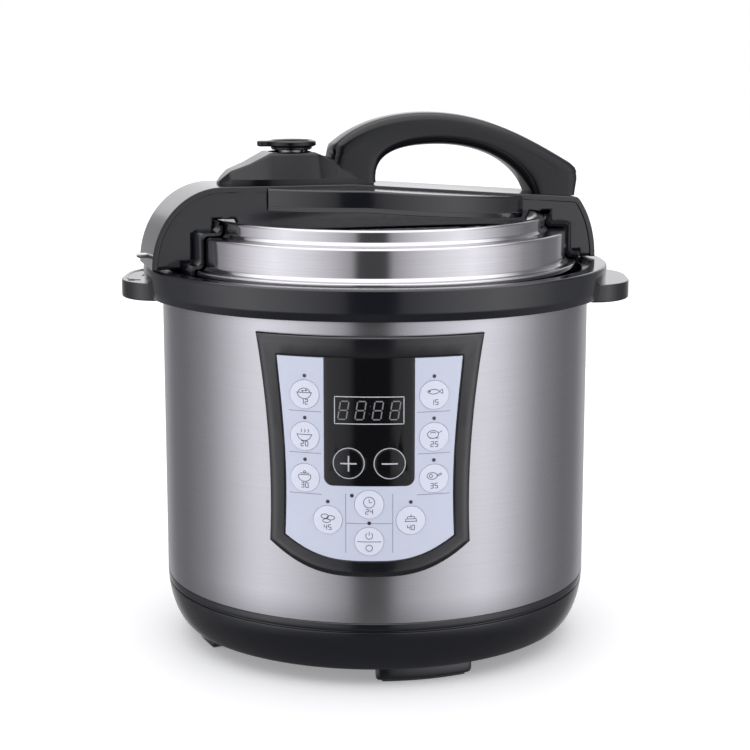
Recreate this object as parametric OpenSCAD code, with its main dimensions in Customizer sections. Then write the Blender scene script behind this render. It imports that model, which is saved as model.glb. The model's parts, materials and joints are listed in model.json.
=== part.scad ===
// Electric pressure cooker with a bayonet lid.
// Origin: on the floor, on the vessel's axis. +Z up, the control panel faces -Y, the lugs lie along X.
// The lid is drawn unlocked, turned lid_open degrees from the lugs.

/* [Body] */
// Space between the pressure housing and the outside of the steel shell
jacket_gap = 20.5; // [18:0.5:40]
// Height of the steel shell over the inner pot's
shell_room = 14; // [12:0.5:30]
// Wall of the steel shell
shell_wall = 0.8; // [0.6:0.1:1.5]
// Height of the moulded base without its feet
base_h = 32; // [28:1:45]
// How far the base tucks in at its lower rim
base_tuck = 10; // [6:1:16]
// Wall of the moulded base
base_wall = 2.5; // [2:0.1:3.5]
// Height of the feet with their pads
foot_h = 10.5; // [6:0.5:20]
// Thickness of the rubber pads under the feet
pad_h = 2; // [1:0.5:3]
// Angle that each foot spans
foot_span = 30; // [16:1:44]
// Angle from the front to the nearest foot
foot_turn = 16.5; // [0:0.5:45]

/* [Collar] */
// Height of the collar's band
collar_h = 19; // [16:1:26]
// How far the collar stands out in front of the shell
collar_proud = 5; // [3:0.5:9]
// Extra half length of the collar along X
collar_oval = 7; // [0:0.5:12]
// Gap between the lid's flange and the collar's mouth
mouth_gap = 3.5; // [1:0.5:4.5]
// How far the lugs reach out from the steel shell
lug_reach = 28.5; // [23:0.5:60]
// Width of a lug
lug_w = 86; // [60:1:110]
// Thickness of a lug
lug_h = 11; // [8:0.5:14]

/* [Vessel] */
// Outside diameter of the inner pot
pot_d = 222; // [216:1:270]
// Height of the inner pot
pot_h = 165; // [160:1:220]
// Wall of the inner pot
pot_wall = 1.5; // [1:0.1:2.5]
// Radial gap between the inner pot and the pressure housing
pot_gap = 1.5; // [1:0.1:3]
// Wall of the pressure housing
housing_wall = 2; // [1.5:0.1:3]
// Number of bayonet teeth
teeth = 10; // [8:1:10]
// How far the teeth stand out from the housing
tooth_reach = 7.5; // [6:0.5:8]
// Thickness of the housing's teeth
tooth_t = 3; // [2.5:0.5:4]

/* [Lid] */
// Angle from the locked to the open lid
lid_open = 16.5; // [16:0.5:18]
// Sheet thickness of the lid
lid_wall = 1.5; // [1.2:0.1:2]
// Height of the lid's main band
band_h = 19.5; // [14:0.5:26]
// Height of the lid's upper band
crown_h = 9; // [6:0.5:14]
// Depth of the dish in the lid's top
dish_depth = 9; // [6:0.5:12]
// Width of the bridge over the lid
bridge_w = 52; // [44:1:60]
// Height of the bridge's deck above the lid's rim, at the valve end
deck_rise = 20.5; // [18:0.5:26]
// How much lower the deck is at the handle's right foot
deck_fall = 11.5; // [0:0.5:14]
// Wall of the bridge
bridge_wall = 3; // [2:0.1:4]
// Width of the handle
handle_w = 25; // [20:1:34]
// Height of the handle's crown above the bridge's deck
handle_rise = 43; // [40:1:56]
// Thickness of the cover along the handle's back
cover_t = 9; // [7:0.5:11]

/* [Valves] */
// Distance of the pressure valve from the lid's centre
valve_x = 54; // [48:1:60]
// Diameter of the valve's knob
knob_d = 31; // [26:1:34]
// Outside diameter of the exhaust pipe
pipe_d = 9; // [7:0.5:11]
// Diameter of the float valve's stem
float_d = 6; // [4:0.5:8]

/* [Control panel] */
// Width of the panel at its top
panel_w = 133; // [128:1:150]
// Height of the panel from its lowest point
panel_h = 142; // [142:1:150]
// Distance from the panel's top to the shell's upper edge
panel_drop = 8; // [4:0.5:14]
// Diameter of a round key
key_d = 16.8; // [14:0.2:17.4]
// Travel of a key
key_travel = 0.5; // [0.3:0.1:0.7]
// Gap round a key
key_gap = 0.4; // [0.3:0.1:0.6]

/* [Hidden] */
$fn = 96;
eps = 0.01;
fit_gap = 0.3;

// Levels of the body
housing_r = pot_d / 2 + pot_gap + housing_wall;
shell_r = housing_r + jacket_gap;
shell_h = pot_h + shell_room;
rim_z = foot_h;
shell_z = foot_h + base_h;
collar_z = shell_z + shell_h;
mouth_z = collar_z + collar_h;
tray_t = 2;
tray_top = collar_z + tray_t;
lug_tip_r = shell_r + lug_reach;
base_rim_r = shell_r - base_tuck;
foot_out_r = base_rim_r - 7;
foot_in_r = foot_out_r - 12;
foot_angles = [for (i = [0:3]) foot_turn - 90 + 90 * i];
foot_screw_r = foot_out_r - 6;
lip_r = foot_in_r - 8;
floor_t = 2;
cover_r = foot_in_r - 1;
cover_screw_r = foot_in_r - 5;
cover_screw_angles = [0, 90, 180, 270];
inlet_w = 28;
inlet_h = 21;
inlet_z = rim_z + base_h / 2 + 1;
inlet_face = base_rim_r + 4;
bolt_r = 2;

// Vessel
pot_r = pot_d / 2;
housing_in_r = pot_r + pot_gap;
tooth_r = housing_r + tooth_reach;
skirt_low_z = tray_top + 1.2;
claw_t = 2.5;
claw_gap = 0.8;
tooth_z = skirt_low_z + claw_t + claw_gap;
housing_top = tooth_z + tooth_t;
pot_rim_top = housing_top + fit_gap + pot_wall;
pot_rim_r = housing_r + 2.5;
pot_low = pot_rim_top - pot_h;
plate_top = pot_low - fit_gap;
plate_t = 12;
plate_r = housing_in_r - 12;
plate_low = plate_top - plate_t;
housing_low = shell_z + 4;
tooth_span = 17;
claw_span = 13.5;
sensor_low = housing_low - 2;
sensor_stem_r = 5;
heater_r = plate_r - 25;
heater_wire_r = 4;
terminal_angles = [5, 325];
board_z = shell_z - 14;
switch_x = -52;
switch_y = -40;
switch_z = shell_z - 16;
cup_w = 60;
cup_d = 18;
cup_h = 60;
cup_y = shell_r + 5;
cup_z = collar_z - 5;
cup_lip = 2.5;
cup_wall = 1.8;

// Lid
skirt_in_r = tooth_r + 2.5;
skirt_r = skirt_in_r + lid_wall;
flange_r = skirt_r + 1;
mouth_r = flange_r + mouth_gap;
flange_z = mouth_z + 1.5;
band_r = skirt_r - 5.5;
step_z = flange_z + band_h;
crown_r = band_r - 13;
lid_top = step_z + crown_h;
dish_z = lid_top - dish_depth;
dish_r = crown_r - 10;
claw_in_r = housing_r + 3.8;
ring_out_r = band_r - lid_wall - fit_gap;
ring_low = pot_rim_top + fit_gap;
ring_h = 9;
ring_in_r = pot_r - pot_wall - 2;

// Bridge and handle, along the bridge u and up z
deck_z = lid_top + deck_rise;
bridge_end = skirt_r + 21.2;
bridge_bend = 44;
bridge_low = mouth_z + 1;
slope_u = -20;
foot_right_u = skirt_r + 7;
foot_left_u = -30;
handle_screw_u = [foot_left_u + 16, foot_right_u - 15];
deck_slope = deck_fall / (foot_right_u - slope_u);
bulge_r = 124;
bulge_out = 60;
bulge_u = 7;
bulge_half = 82;
bulge_depth = 17;
lid_clear = 0.8;
crown_z = deck_z + handle_rise;
handle_top_u = 32;
inner_u = foot_right_u - 31;
grip_z = crown_z - 20.5;
boss_r = 5.5;
boss_places = [for (u = [13.5 - dish_r, dish_r - 33.5], v = [14, -14]) [u, v]];

// Valves
knob_z = deck_z + 22.5;
knob_t = 4;
pipe_r = pipe_d / 2;
pipe_bore = 1.6;
pipe_top = deck_z + 12;
pipe_low = dish_z - lid_wall - 8;
weight_r = pipe_r + 3.5;
weight_low = deck_z + 3;
socket_gap = 0.35;
shroud_top = deck_z + 19.5;
shroud_r = weight_r + 8;
shroud_tip = -valve_x - 47;
float_u = -14;
float_v = handle_w / 2 + 6.5;
pin_z = bridge_low + 6.5;
pin_r = 1.6;

// Panel
panel_face_r = shell_r + 3.6;
web_r = shell_r + 1.2;
skin_r = shell_r + 2.4;
panel_top = shell_h - panel_drop;
panel_z = panel_top - panel_h;
lamp_r = 1.1;
side_lamp_dz = key_d / 2 + lamp_r + 1.4;
col_x = 37.2;
key_rows = [for (i = [0:2]) panel_top - 34.5 - 24.6 * i];
inner_x = 24;
inner_z = panel_z + 34;
mid_keys = [panel_z + 43.8, panel_z + 21.7];
adjust_x = 11.8;
adjust_z = panel_z + 68;
board_y = housing_r + 3.5;
board_t = 1.6;
post_x = 43;
post_rows = [panel_z + 18, panel_top - 20];
switch_top_r = shell_r - 2.8;
stem_low_r = switch_top_r + key_travel + 0.2;
cap_low_r = web_r + key_travel + 0.2;
cap_top_r = skin_r + 0.9;
stem_r = 4.5;
display_w = 40;
display_h = 16;
display_low = panel_top - 51;
side_keys = concat([for (z = key_rows) [-col_x, z]], [for (z = key_rows) [col_x, z]]);
key_places = concat(side_keys, [[-inner_x, inner_z], [inner_x, inner_z], [0, mid_keys[0]], [0, mid_keys[1]],
    [-adjust_x, adjust_z], [adjust_x, adjust_z]]);
lamp_places = concat([for (k = side_keys) [k[0], k[1] + side_lamp_dz]],
    [[-inner_x, inner_z + side_lamp_dz], [inner_x, inner_z + side_lamp_dz],
    [-key_d / 2 - 1.6, mid_keys[0] + 5.1], [0, mid_keys[1] + side_lamp_dz]]);

// Cubic curve from a to d with the handles b and c, in n steps
function curve(a, b, c, d, n) =
    [for (i = [0:n]) let (t = i / n, s = 1 - t)
        s * s * s * a + 3 * s * s * t * b + 3 * s * t * t * c + t * t * t * d];

// Arc of an ellipse round c with the half axes ax and az, from angle a0 to a1
function arc(c, ax, az, a0, a1, n) =
    [for (i = [0:n]) let (a = a0 + (a1 - a0) * i / n) [c[0] + ax * cos(a), c[1] + az * sin(a)]];

// Height of the bridge's deck at u
function deck(u) = deck_z - deck_slope * max(0, u - slope_u);

// A disc or a pipe standing on z
module tube(r_out, r_in, z, h) {
    translate([0, 0, z]) difference() {
        cylinder(r = r_out, h = h);
        translate([0, 0, -1]) cylinder(r = r_in, h = h + 2);
    }
}

// Sector of a ring between two radii, centred on angle a
module sector(r_in, r_out, span, a, z, h) {
    rotate([0, 0, a - span / 2]) rotate_extrude(angle = span)
        translate([r_in, z]) square([r_out - r_in, h]);
}

// Places its children on the shell, facing out, x across and z up from the shell's edge
module on_shell(x, z) {
    rotate([0, 0, asin(x / skin_r)]) translate([0, 0, shell_z + z]) rotate([90, 0, 0]) children();
}

// Part of a cylindrical skin between two radii, behind a flat outline in x and z
module skin(r_in, r_out) {
    intersection() {
        tube(r_out, r_in, shell_z, panel_top + 5);
        translate([0, 0, shell_z]) rotate([90, 0, 0]) linear_extrude(r_out + 5) children();
    }
}

// Turns its children to the open lid, u along X
module on_lid() {
    rotate([0, 0, lid_open]) children();
}

// Upright plate whose outline is in u and z, w wide about the bridge's middle
module upright(w) {
    translate([0, w / 2, 0]) rotate([90, 0, 0]) linear_extrude(w) children();
}

// Coil spring of wire radius w round the Z axis
module coil(r, w, h, turns) {
    steps = 14;
    sides = 8;
    count = turns * steps;
    points = [for (i = [0:count], j = [0:sides - 1])
        let (a = 360 * i / steps, b = 360 * j / sides, q = r + w * cos(b))
            [q * cos(a), q * sin(a), w + (h - 2 * w) * i / count + w * sin(b)]];
    walls = [for (i = [0:count - 1], j = [0:sides - 1])
        let (k = (j + 1) % sides)
            [i * sides + j, i * sides + k, (i + 1) * sides + k, (i + 1) * sides + j]];
    ends = [[for (j = [sides - 1:-1:0]) j], [for (j = [0:sides - 1]) count * sides + j]];
    polyhedron(points, concat(walls, ends));
}

// Screw with its head's seat at z = 0 and its shank l long below it
module screw(l) {
    translate([0, 0, -l]) cylinder(r = bolt_r, h = l + eps);
    difference() {
        cylinder(r = bolt_r * 1.75, h = 2.2);
        translate([0, 0, 1.2]) cross(bolt_r * 2, 0.9);
    }
}

// Cross recess a across, with slots w wide
module cross(a, w) {
    for (q = [0, 90]) rotate([0, 0, q]) translate([-a / 2, -w / 2, 0]) cube([a, w, 3]);
}

// ---- Base ----

// Outline of the bowl, inset by d
function bowl(d) = concat(
    curve([base_rim_r - d, rim_z + d], [base_rim_r + base_tuck / 2 - d, rim_z + 4.5 + d],
        [shell_r - 0.2 - d, shell_z - 14.5], [shell_r - d, shell_z], 14),
    [[0, shell_z], [0, rim_z + d]]);

module base_shell() {
    color([0.05, 0.05, 0.07]) difference() {
        union() {
            rotate_extrude($fn = 128) polygon(bowl(0));
            translate([-inlet_w / 2 - 4, base_rim_r - 14, rim_z])
                cube([inlet_w + 8, inlet_face - base_rim_r + 14, base_h - 1]);
        }
        difference() {
            rotate_extrude($fn = 128) polygon(bowl(base_wall));
            translate([-inlet_w / 2 - 4, base_rim_r - 14, rim_z])
                cube([inlet_w + 8, inlet_face, base_h - 1]);
            for (a = foot_angles) rotate([0, 0, a]) translate([foot_screw_r, 0, rim_z])
                cylinder(r = 5, h = base_wall + 3);
        }
        translate([0, 0, shell_z - eps]) cylinder(r = shell_r + 2, h = 5);
        translate([0, 0, rim_z - 1]) cylinder(r = lip_r, h = base_wall + 2);
        tube(shell_r + 1, shell_r - 0.8, shell_z - 6, 1.2);
        for (a = foot_angles) rotate([0, 0, a]) translate([foot_screw_r, 0, rim_z - 1])
            cylinder(r = bolt_r, h = base_wall + 6);
        for (a = cover_screw_angles) rotate([0, 0, a]) translate([cover_screw_r, 0, rim_z - 1])
            cylinder(r = bolt_r, h = base_wall + 2);
        translate([-inlet_w / 2, base_rim_r - 16, inlet_z - inlet_h / 2]) cube([inlet_w, 40, inlet_h]);
    }
}

module feet() {
    color([0.05, 0.05, 0.07]) for (a = foot_angles) difference() {
        sector(foot_in_r, foot_out_r, foot_span, a, pad_h / 2, foot_h - pad_h / 2);
        rotate([0, 0, a]) translate([foot_screw_r, 0, 0]) cylinder(r = bolt_r, h = foot_h + 1);
        sector(foot_in_r + 2, foot_out_r - 2, foot_span - 4, a, -1, pad_h + 1);
    }
}

module foot_pads() {
    color([0.15, 0.15, 0.15]) for (a = foot_angles)
        sector(foot_in_r + 2, foot_out_r - 2, foot_span - 4, a, 0, pad_h);
}

module bottom_cover() {
    color([0.07, 0.07, 0.08]) difference() {
        union() {
            translate([0, 0, rim_z - floor_t]) cylinder(r = cover_r, h = floor_t);
            for (x = [-40, 40], y = [25, 61]) translate([x, y, rim_z - eps])
                cylinder(r = 3, h = board_z - rim_z + eps);
            translate([switch_x + 10, switch_y + 5, rim_z - eps])
                cylinder(r = 4.5, h = switch_z - rim_z + eps);
        }
        for (i = [0:23], r = [44, 58, 72]) rotate([0, 0, i * 15 + r]) translate([r, 0, rim_z - floor_t - 1])
            cylinder(r = 2.4, h = floor_t + 2, $fn = 24);
        for (a = cover_screw_angles) rotate([0, 0, a]) translate([cover_screw_r, 0, rim_z - floor_t - 1])
            cylinder(r = bolt_r, h = floor_t + 2);
    }
}

module bottom_screws() {
    color("silver") {
        for (a = cover_screw_angles) rotate([0, 0, a]) translate([cover_screw_r, 0, rim_z - floor_t])
            mirror([0, 0, 1]) screw(floor_t + base_wall);
        for (a = foot_angles) rotate([0, 0, a]) translate([foot_screw_r, 0, rim_z + base_wall + 3])
            screw(foot_h - pad_h);
    }
}

module mains_inlet() {
    depth = 20;
    color([0.03, 0.03, 0.03]) translate([-inlet_w / 2, inlet_face - depth - 1, inlet_z - inlet_h / 2])
    difference() {
        cube([inlet_w, depth, inlet_h]);
        translate([2, 4, 2]) cube([inlet_w - 4, depth, inlet_h - 4]);
        for (x = [-7, 0, 7]) translate([inlet_w / 2 + x - 1, -1, inlet_h / 2 - 2]) cube([2, 6, 4]);
    }
}

module inlet_pins() {
    color("silver") for (x = [-7, 0, 7])
        translate([x - 1, inlet_face - 29, inlet_z - 2]) cube([2, 24, 4]);
}

module power_board() {
    color([0.1, 0.35, 0.15]) translate([-45, 20, board_z]) cube([90, 46, board_t]);
}

module board_parts() {
    color([0.2, 0.2, 0.22]) translate([0, 0, board_z + board_t]) {
        translate([-38, 26, 0]) cube([24, 18, 11]);
        translate([-6, 26, 0]) cube([18, 16, 12]);
        translate([30, 34, 0]) cylinder(r = 6, h = 12);
        translate([22, 54, 0]) cube([16, 8, 8]);
        translate([-30, 52, 0]) cube([30, 10, 5]);
    }
}

module pressure_switch() {
    color([0.75, 0.75, 0.72]) translate([switch_x, switch_y, switch_z]) {
        cube([20, 10, 14]);
        translate([10, 5, 14]) cylinder(r = 2, h = housing_low - switch_z - 14 - fit_gap);
    }
}

module thermal_fuse() {
    color([0.85, 0.85, 0.8]) translate([20, -34, plate_low - 5 - fit_gap]) {
        cube([18, 8, 5]);
        translate([9, 4, 5]) cylinder(r = 2, h = fit_gap);
    }
}

// ---- Outer shell and collar ----

module outer_shell() {
    color("silver") difference() {
        tube(shell_r, shell_r - shell_wall, shell_z, shell_h);
        for (k = key_places) on_shell(k[0], k[1]) cylinder(r = key_d / 2, h = 2 * shell_r);
        for (k = lamp_places) on_shell(k[0], k[1]) cylinder(r = lamp_r + 0.5, h = 2 * shell_r);
        translate([-display_w / 2 - 1, -shell_r - 5, shell_z + display_low - 1])
            cube([display_w + 2, 20, display_h + 2]);
        board_posts(3, 30);
    }
}

// Upright body whose plan is a circle of radius r drawn out along X, widening to r1 at its top
module oval(r0, r1, h) {
    for (s = [-1, 1]) translate([s * collar_oval, 0, 0]) cylinder(r1 = r0, r2 = r1, h = h, $fn = 128);
    translate([-collar_oval, 0, 0]) rotate([90, 0, 90]) linear_extrude(2 * collar_oval)
        polygon([[-r0, 0], [r0, 0], [r1, h], [-r1, h]]);
}

// Plan of a lug, rounded at its outer corners
module lug_plan(inset) {
    corner = 20;
    tip = lug_tip_r - inset;
    half = lug_w / 2 - inset;
    translate([shell_r - 25, -half]) square([tip - corner - shell_r + 25, 2 * half]);
    translate([shell_r - 25, -half + corner]) square([tip - shell_r + 25, 2 * (half - corner)]);
    for (s = [-1, 1]) translate([tip - corner, s * (half - corner)]) circle(r = corner);
}

module collar() {
    lug_z = collar_z - 2;
    color([0.05, 0.05, 0.07]) difference() {
        union() {
            translate([0, 0, collar_z]) oval(shell_r + collar_proud - 2.5, shell_r + collar_proud, collar_h);
            for (q = [0, 180]) rotate([0, 0, q]) translate([0, 0, lug_z]) linear_extrude(lug_h) lug_plan(0);
        }
        translate([0, 0, tray_top]) cylinder(r = mouth_r, h = collar_h + 5, $fn = 128);
        translate([0, 0, lug_z - 1]) cylinder(r = housing_r + fit_gap, h = collar_h);
        translate([0, 0, lug_z - 1]) cylinder(r = shell_r + eps, h = 3, $fn = 96);
        for (q = [0, 180]) rotate([0, 0, q]) difference() {
            translate([0, 0, lug_z - 1]) linear_extrude(lug_h - 2) lug_plan(3);
            cylinder(r = shell_r + collar_oval + collar_proud + 3, h = 400);
        }
        for (a = [0:5]) rotate([0, 0, a * 60 + 30]) translate([housing_r + 6, 0, collar_z - 1])
            cylinder(r = bolt_r - 0.5, h = tray_t + 2);
    }
}

module pressure_housing() {
    color([0.72, 0.72, 0.74]) difference() {
        union() {
            tube(housing_r, housing_in_r, housing_low, housing_top - housing_low);
            translate([0, 0, housing_low]) cylinder(r = housing_r, h = housing_wall);
            tube(housing_r + 10, housing_in_r + 1, collar_z - housing_wall - eps, housing_wall);
            for (i = [0:teeth - 1])
                sector(housing_r - 1, tooth_r, tooth_span, i * 360 / teeth, tooth_z, tooth_t);
        }
        translate([0, 0, housing_low - 1]) cylinder(r = sensor_stem_r + 0.4, h = housing_wall + 2);
        for (a = terminal_angles) rotate([0, 0, a]) translate([heater_r, 0, housing_low - 1])
            cylinder(r = 3.5, h = housing_wall + 2);
        for (a = [0:5]) rotate([0, 0, a * 60 + 30]) translate([housing_r + 6, 0, collar_z - 5])
            cylinder(r = bolt_r - 0.5, h = 8);
    }
}

module housing_screws() {
    color("silver") for (a = [0:5]) rotate([0, 0, a * 60 + 30])
        translate([housing_r + 6, 0, collar_z - housing_wall - eps]) mirror([0, 0, 1]) {
            cylinder(r = bolt_r + 1, h = 2);
            mirror([0, 0, 1]) cylinder(r = bolt_r - 0.5, h = housing_wall + tray_t - 0.5);
        }
}

// ---- Heating ----

module heating_plate() {
    color([0.6, 0.6, 0.62]) difference() {
        translate([0, 0, plate_low]) cylinder(r = plate_r, h = plate_t);
        translate([0, 0, plate_low - 1]) cylinder(r = 14, h = plate_t + 2);
        translate([0, 0, plate_low]) rotate_extrude() translate([heater_r, 0])
            circle(r = heater_wire_r + 0.2);
    }
}

module heating_tube() {
    color([0.35, 0.33, 0.32]) {
        translate([0, 0, plate_low]) rotate_extrude(angle = 330) translate([heater_r, 0])
            circle(r = heater_wire_r);
        for (a = terminal_angles) rotate([0, 0, a]) translate([heater_r, 0, housing_low - 8])
            cylinder(r = 2.2, h = plate_low - housing_low + 8);
    }
}

module plate_spring() {
    color([0.55, 0.55, 0.58]) {
        tube(heater_r - 9, heater_r - 21, housing_low + housing_wall, plate_low - housing_low - housing_wall);
    }
}

module temperature_sensor() {
    color([0.82, 0.82, 0.84]) {
        translate([0, 0, plate_top - 8]) cylinder(r = 12, h = 8 + fit_gap - 0.1);
        translate([0, 0, sensor_low]) cylinder(r = sensor_stem_r, h = plate_top - 8 - sensor_low + eps);
    }
}

module sensor_spring() {
    color("silver") translate([0, 0, housing_low + housing_wall])
        coil(7.5, 0.7, plate_top - 8.1 - housing_low - housing_wall, 5);
}

// ---- Control panel ----

// Outline of the bezel: flat top, waisted sides, drooping foot; inset by d
module panel_plan(d) {
    half = panel_w / 2;
    waist = half - 7.5;
    droop = 18.6;
    right = curve([half - d, panel_top - d], [waist - 1 - d, panel_top - 40], [waist - 2.5 - d, panel_z + 60],
        [waist - d, panel_z + droop + d * 0.5], 12);
    foot = curve([waist - d, panel_z + droop + d * 0.5], [waist * 0.62, panel_z + d],
        [waist * 0.35, panel_z + d], [0, panel_z + d], 10);
    side = concat(right, [for (i = [1:len(foot) - 1]) foot[i]]);
    polygon(concat(side, [for (i = [len(side) - 2:-1:0]) [-side[i][0], side[i][1]]]));
}

// Lowered field inside the bezel's rim
module field_plan() {
    intersection() {
        panel_plan(9.5);
        translate([-panel_w / 2, panel_z]) square([panel_w, panel_h - 12.5]);
    }
}

// Black centre window, open towards the top
module window_plan() {
    half = 26;
    low = panel_z + 54.5;
    r = 5;
    translate([-half, low + r]) square([2 * half, panel_top - 12.5 - low - r]);
    translate([-half + r, low]) square([2 * half - 2 * r, 2 * r]);
    for (s = [-1, 1]) translate([s * (half - r), low + r]) circle(r = r);
}

// Holes for all the keys, g larger than a key all round
module key_holes(g) {
    for (k = key_places) on_shell(k[0], k[1]) cylinder(r = key_d / 2 + g, h = 2 * shell_r);
}

module lamp_holes(g) {
    for (k = lamp_places) on_shell(k[0], k[1]) cylinder(r = lamp_r + g, h = 2 * shell_r);
}

module panel_bezel() {
    color([0.02, 0.02, 0.03]) difference() {
        skin(shell_r + 0.05, panel_face_r) panel_plan(0);
        skin(web_r, panel_face_r + 1) field_plan();
        for (k = key_places) on_shell(k[0], k[1]) cylinder(r = stem_r + key_gap, h = 2 * shell_r);
        lamp_holes(0);
        translate([-display_w / 2, -shell_r - 9, shell_z + display_low]) cube([display_w, 20, display_h]);
    }
    color([0.02, 0.02, 0.03])
        board_posts(2.5, sqrt(web_r * web_r - post_x * post_x) - board_y - board_t - 0.3);
}

// Posts of radius r and length l that carry the control board
module board_posts(r, l) {
    for (x = [-post_x, post_x], z = post_rows)
        translate([x, -board_y - board_t, shell_z + z]) rotate([90, 0, 0]) cylinder(r = r, h = l);
}

module panel_membrane() {
    color([0.78, 0.8, 0.9]) difference() {
        skin(web_r + eps, skin_r) difference() {
            field_plan();
            window_plan();
        }
        key_holes(key_gap);
        lamp_holes(0);
    }
}

module display_window() {
    color([0.02, 0.02, 0.03, 0.9]) difference() {
        skin(web_r + eps, skin_r) intersection() {
            window_plan();
            field_plan();
        }
        key_holes(key_gap);
        translate([-display_w / 2, -shell_r - 9, shell_z + display_low]) cube([display_w, 20, display_h]);
    }
}

module display_module() {
    color([0.12, 0.12, 0.13]) intersection() {
        translate([-display_w / 2, -skin_r - 5, shell_z + display_low])
            cube([display_w, skin_r + 5 - board_y - board_t, display_h]);
        cylinder(r = skin_r - 0.2, h = 400);
    }
}

module panel_lamps() {
    color([0.2, 0.2, 0.22]) for (k = lamp_places) on_shell(k[0], k[1])
        translate([0, 0, shell_r - 3]) cylinder(r = lamp_r, h = skin_r - shell_r + 3.1);
}

module control_board() {
    color([0.1, 0.35, 0.15]) translate([-46, -board_y - board_t, shell_z + panel_z + 12])
        cube([92, board_t, panel_h - 26]);
}

module key_switches() {
    color([0.15, 0.15, 0.15]) difference() {
        for (k = key_places) on_shell(k[0], k[1]) translate([0, 0, board_y - 3])
            cylinder(r = 3, h = switch_top_r - board_y + 3);
        translate([-60, -board_y - board_t, 0]) cube([120, 60, 400]);
    }
}

// Round key with its stem, at x and z on the panel
module key(x, z) {
    color([0.8, 0.82, 0.92]) on_shell(x, z) {
        translate([0, 0, cap_low_r]) cylinder(r = key_d / 2, h = cap_top_r - cap_low_r);
        translate([0, 0, stem_low_r]) cylinder(r = stem_r, h = cap_low_r - stem_low_r + eps);
    }
}

module key_plus() { key(-adjust_x, adjust_z); }
module key_minus() { key(adjust_x, adjust_z); }
module key_left_top() { key(-col_x, key_rows[0]); }
module key_left_mid() { key(-col_x, key_rows[1]); }
module key_left_low() { key(-col_x, key_rows[2]); }
module key_right_top() { key(col_x, key_rows[0]); }
module key_right_mid() { key(col_x, key_rows[1]); }
module key_right_low() { key(col_x, key_rows[2]); }
module key_inner_left() { key(-inner_x, inner_z); }
module key_inner_right() { key(inner_x, inner_z); }
module key_timer() { key(0, mid_keys[0]); }
module key_cancel() { key(0, mid_keys[1]); }

// ---- Loose pieces on the body ----

// Cup of the size given, with its mouth at z = 0 and a lip that slides in the holder's rails
module condensate_cup() {
    color([0.55, 0.6, 0.65, 0.6]) translate([0, cup_y, cup_z]) difference() {
        union() {
            translate([-cup_w / 2, 0, -cup_h]) cube([cup_w, cup_d, cup_h]);
            translate([-cup_w / 2 - cup_lip, 0, -cup_lip]) cube([cup_w + 2 * cup_lip, cup_d, cup_lip]);
        }
        translate([-cup_w / 2 + cup_wall, cup_wall, -cup_h + cup_wall])
            cube([cup_w - 2 * cup_wall, cup_d - 2 * cup_wall, cup_h]);
    }
}

// Plate with two rails under the collar's rear
module cup_holder() {
    half = cup_w / 2 + cup_lip + fit_gap;
    rail = 2.5;
    rail_z = cup_z - cup_lip - fit_gap - rail;
    color([0.05, 0.05, 0.07]) difference() {
        translate([-half - rail, shell_r - 6, rail_z])
            cube([2 * (half + rail), cup_y - shell_r + 6 + cup_d, collar_z - rail_z]);
        translate([-half, cup_y - fit_gap, cup_z - cup_lip - fit_gap])
            cube([2 * half, cup_d + 5, cup_lip + 2 * fit_gap]);
        translate([-cup_w / 2 - fit_gap, cup_y - fit_gap, cup_z - cup_h])
            cube([cup_w + 2 * fit_gap, cup_d + 5, cup_h]);
        cylinder(r = shell_r + 0.05, h = 400);
    }
}

module inner_pot() {
    color([0.75, 0.76, 0.78]) difference() {
        union() {
            translate([0, 0, pot_low]) rotate_extrude($fn = 128)
                polygon(concat([[0, 0], [pot_r - 10, 0]], arc([pot_r - 10, 10], 10, 10, -80, 0, 8),
                    [[pot_r, pot_h], [0, pot_h]]));
            tube(pot_rim_r, pot_r - 1, pot_rim_top - pot_wall, pot_wall);
        }
        translate([0, 0, pot_low]) rotate_extrude($fn = 128)
            polygon(concat([[0, pot_wall], [pot_r - 10, pot_wall]],
                arc([pot_r - 10, 10], 10 - pot_wall, 10 - pot_wall, -80, 0, 8),
                [[pot_r - pot_wall, pot_h + 1], [0, pot_h + 1]]));
    }
}

// ---- Lid ----

module sealing_ring() {
    color([0.85, 0.85, 0.82]) translate([0, 0, ring_low]) rotate_extrude($fn = 128) difference() {
        translate([ring_in_r, 0]) square([ring_out_r - ring_in_r, ring_h]);
        translate([ring_in_r + 2, 2]) square([ring_out_r - ring_in_r - 4, ring_h]);
    }
}

module ring_rack() {
    color("silver") translate([0, 0, ring_low]) {
        rotate_extrude($fn = 128) translate([ring_out_r - 3.6, 3.6]) circle(r = 1.5);
        rotate_extrude($fn = 128) translate([ring_in_r + 3.6, 3.6]) circle(r = 1.5);
        for (i = [0:7]) rotate([0, 90, i * 45]) translate([-3.6, 0, ring_in_r + 3.6])
            cylinder(r = 1, h = ring_out_r - ring_in_r - 7.2);
    }
}

// Outside of the lid's section from its skirt to the axis, grown by g
function lid_section(g) = concat(
    [[0, skirt_low_z - g], [skirt_r + g, skirt_low_z - g], [skirt_r + g, flange_z - 4],
    [flange_r + g, flange_z - 3], [flange_r + g, flange_z - 1]],
    arc([flange_r - 1, flange_z - 1], 1 + g, 1 + g, 20, 90, 4),
    [[band_r + g, flange_z + g]],
    arc([band_r - 2, step_z - 2], 2 + g, 2 + g, 0, 90, 6),
    [[crown_r + g, step_z + g]],
    arc([crown_r - 2, lid_top - 2], 2 + g, 2 + g, 0, 90, 6));

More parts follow.
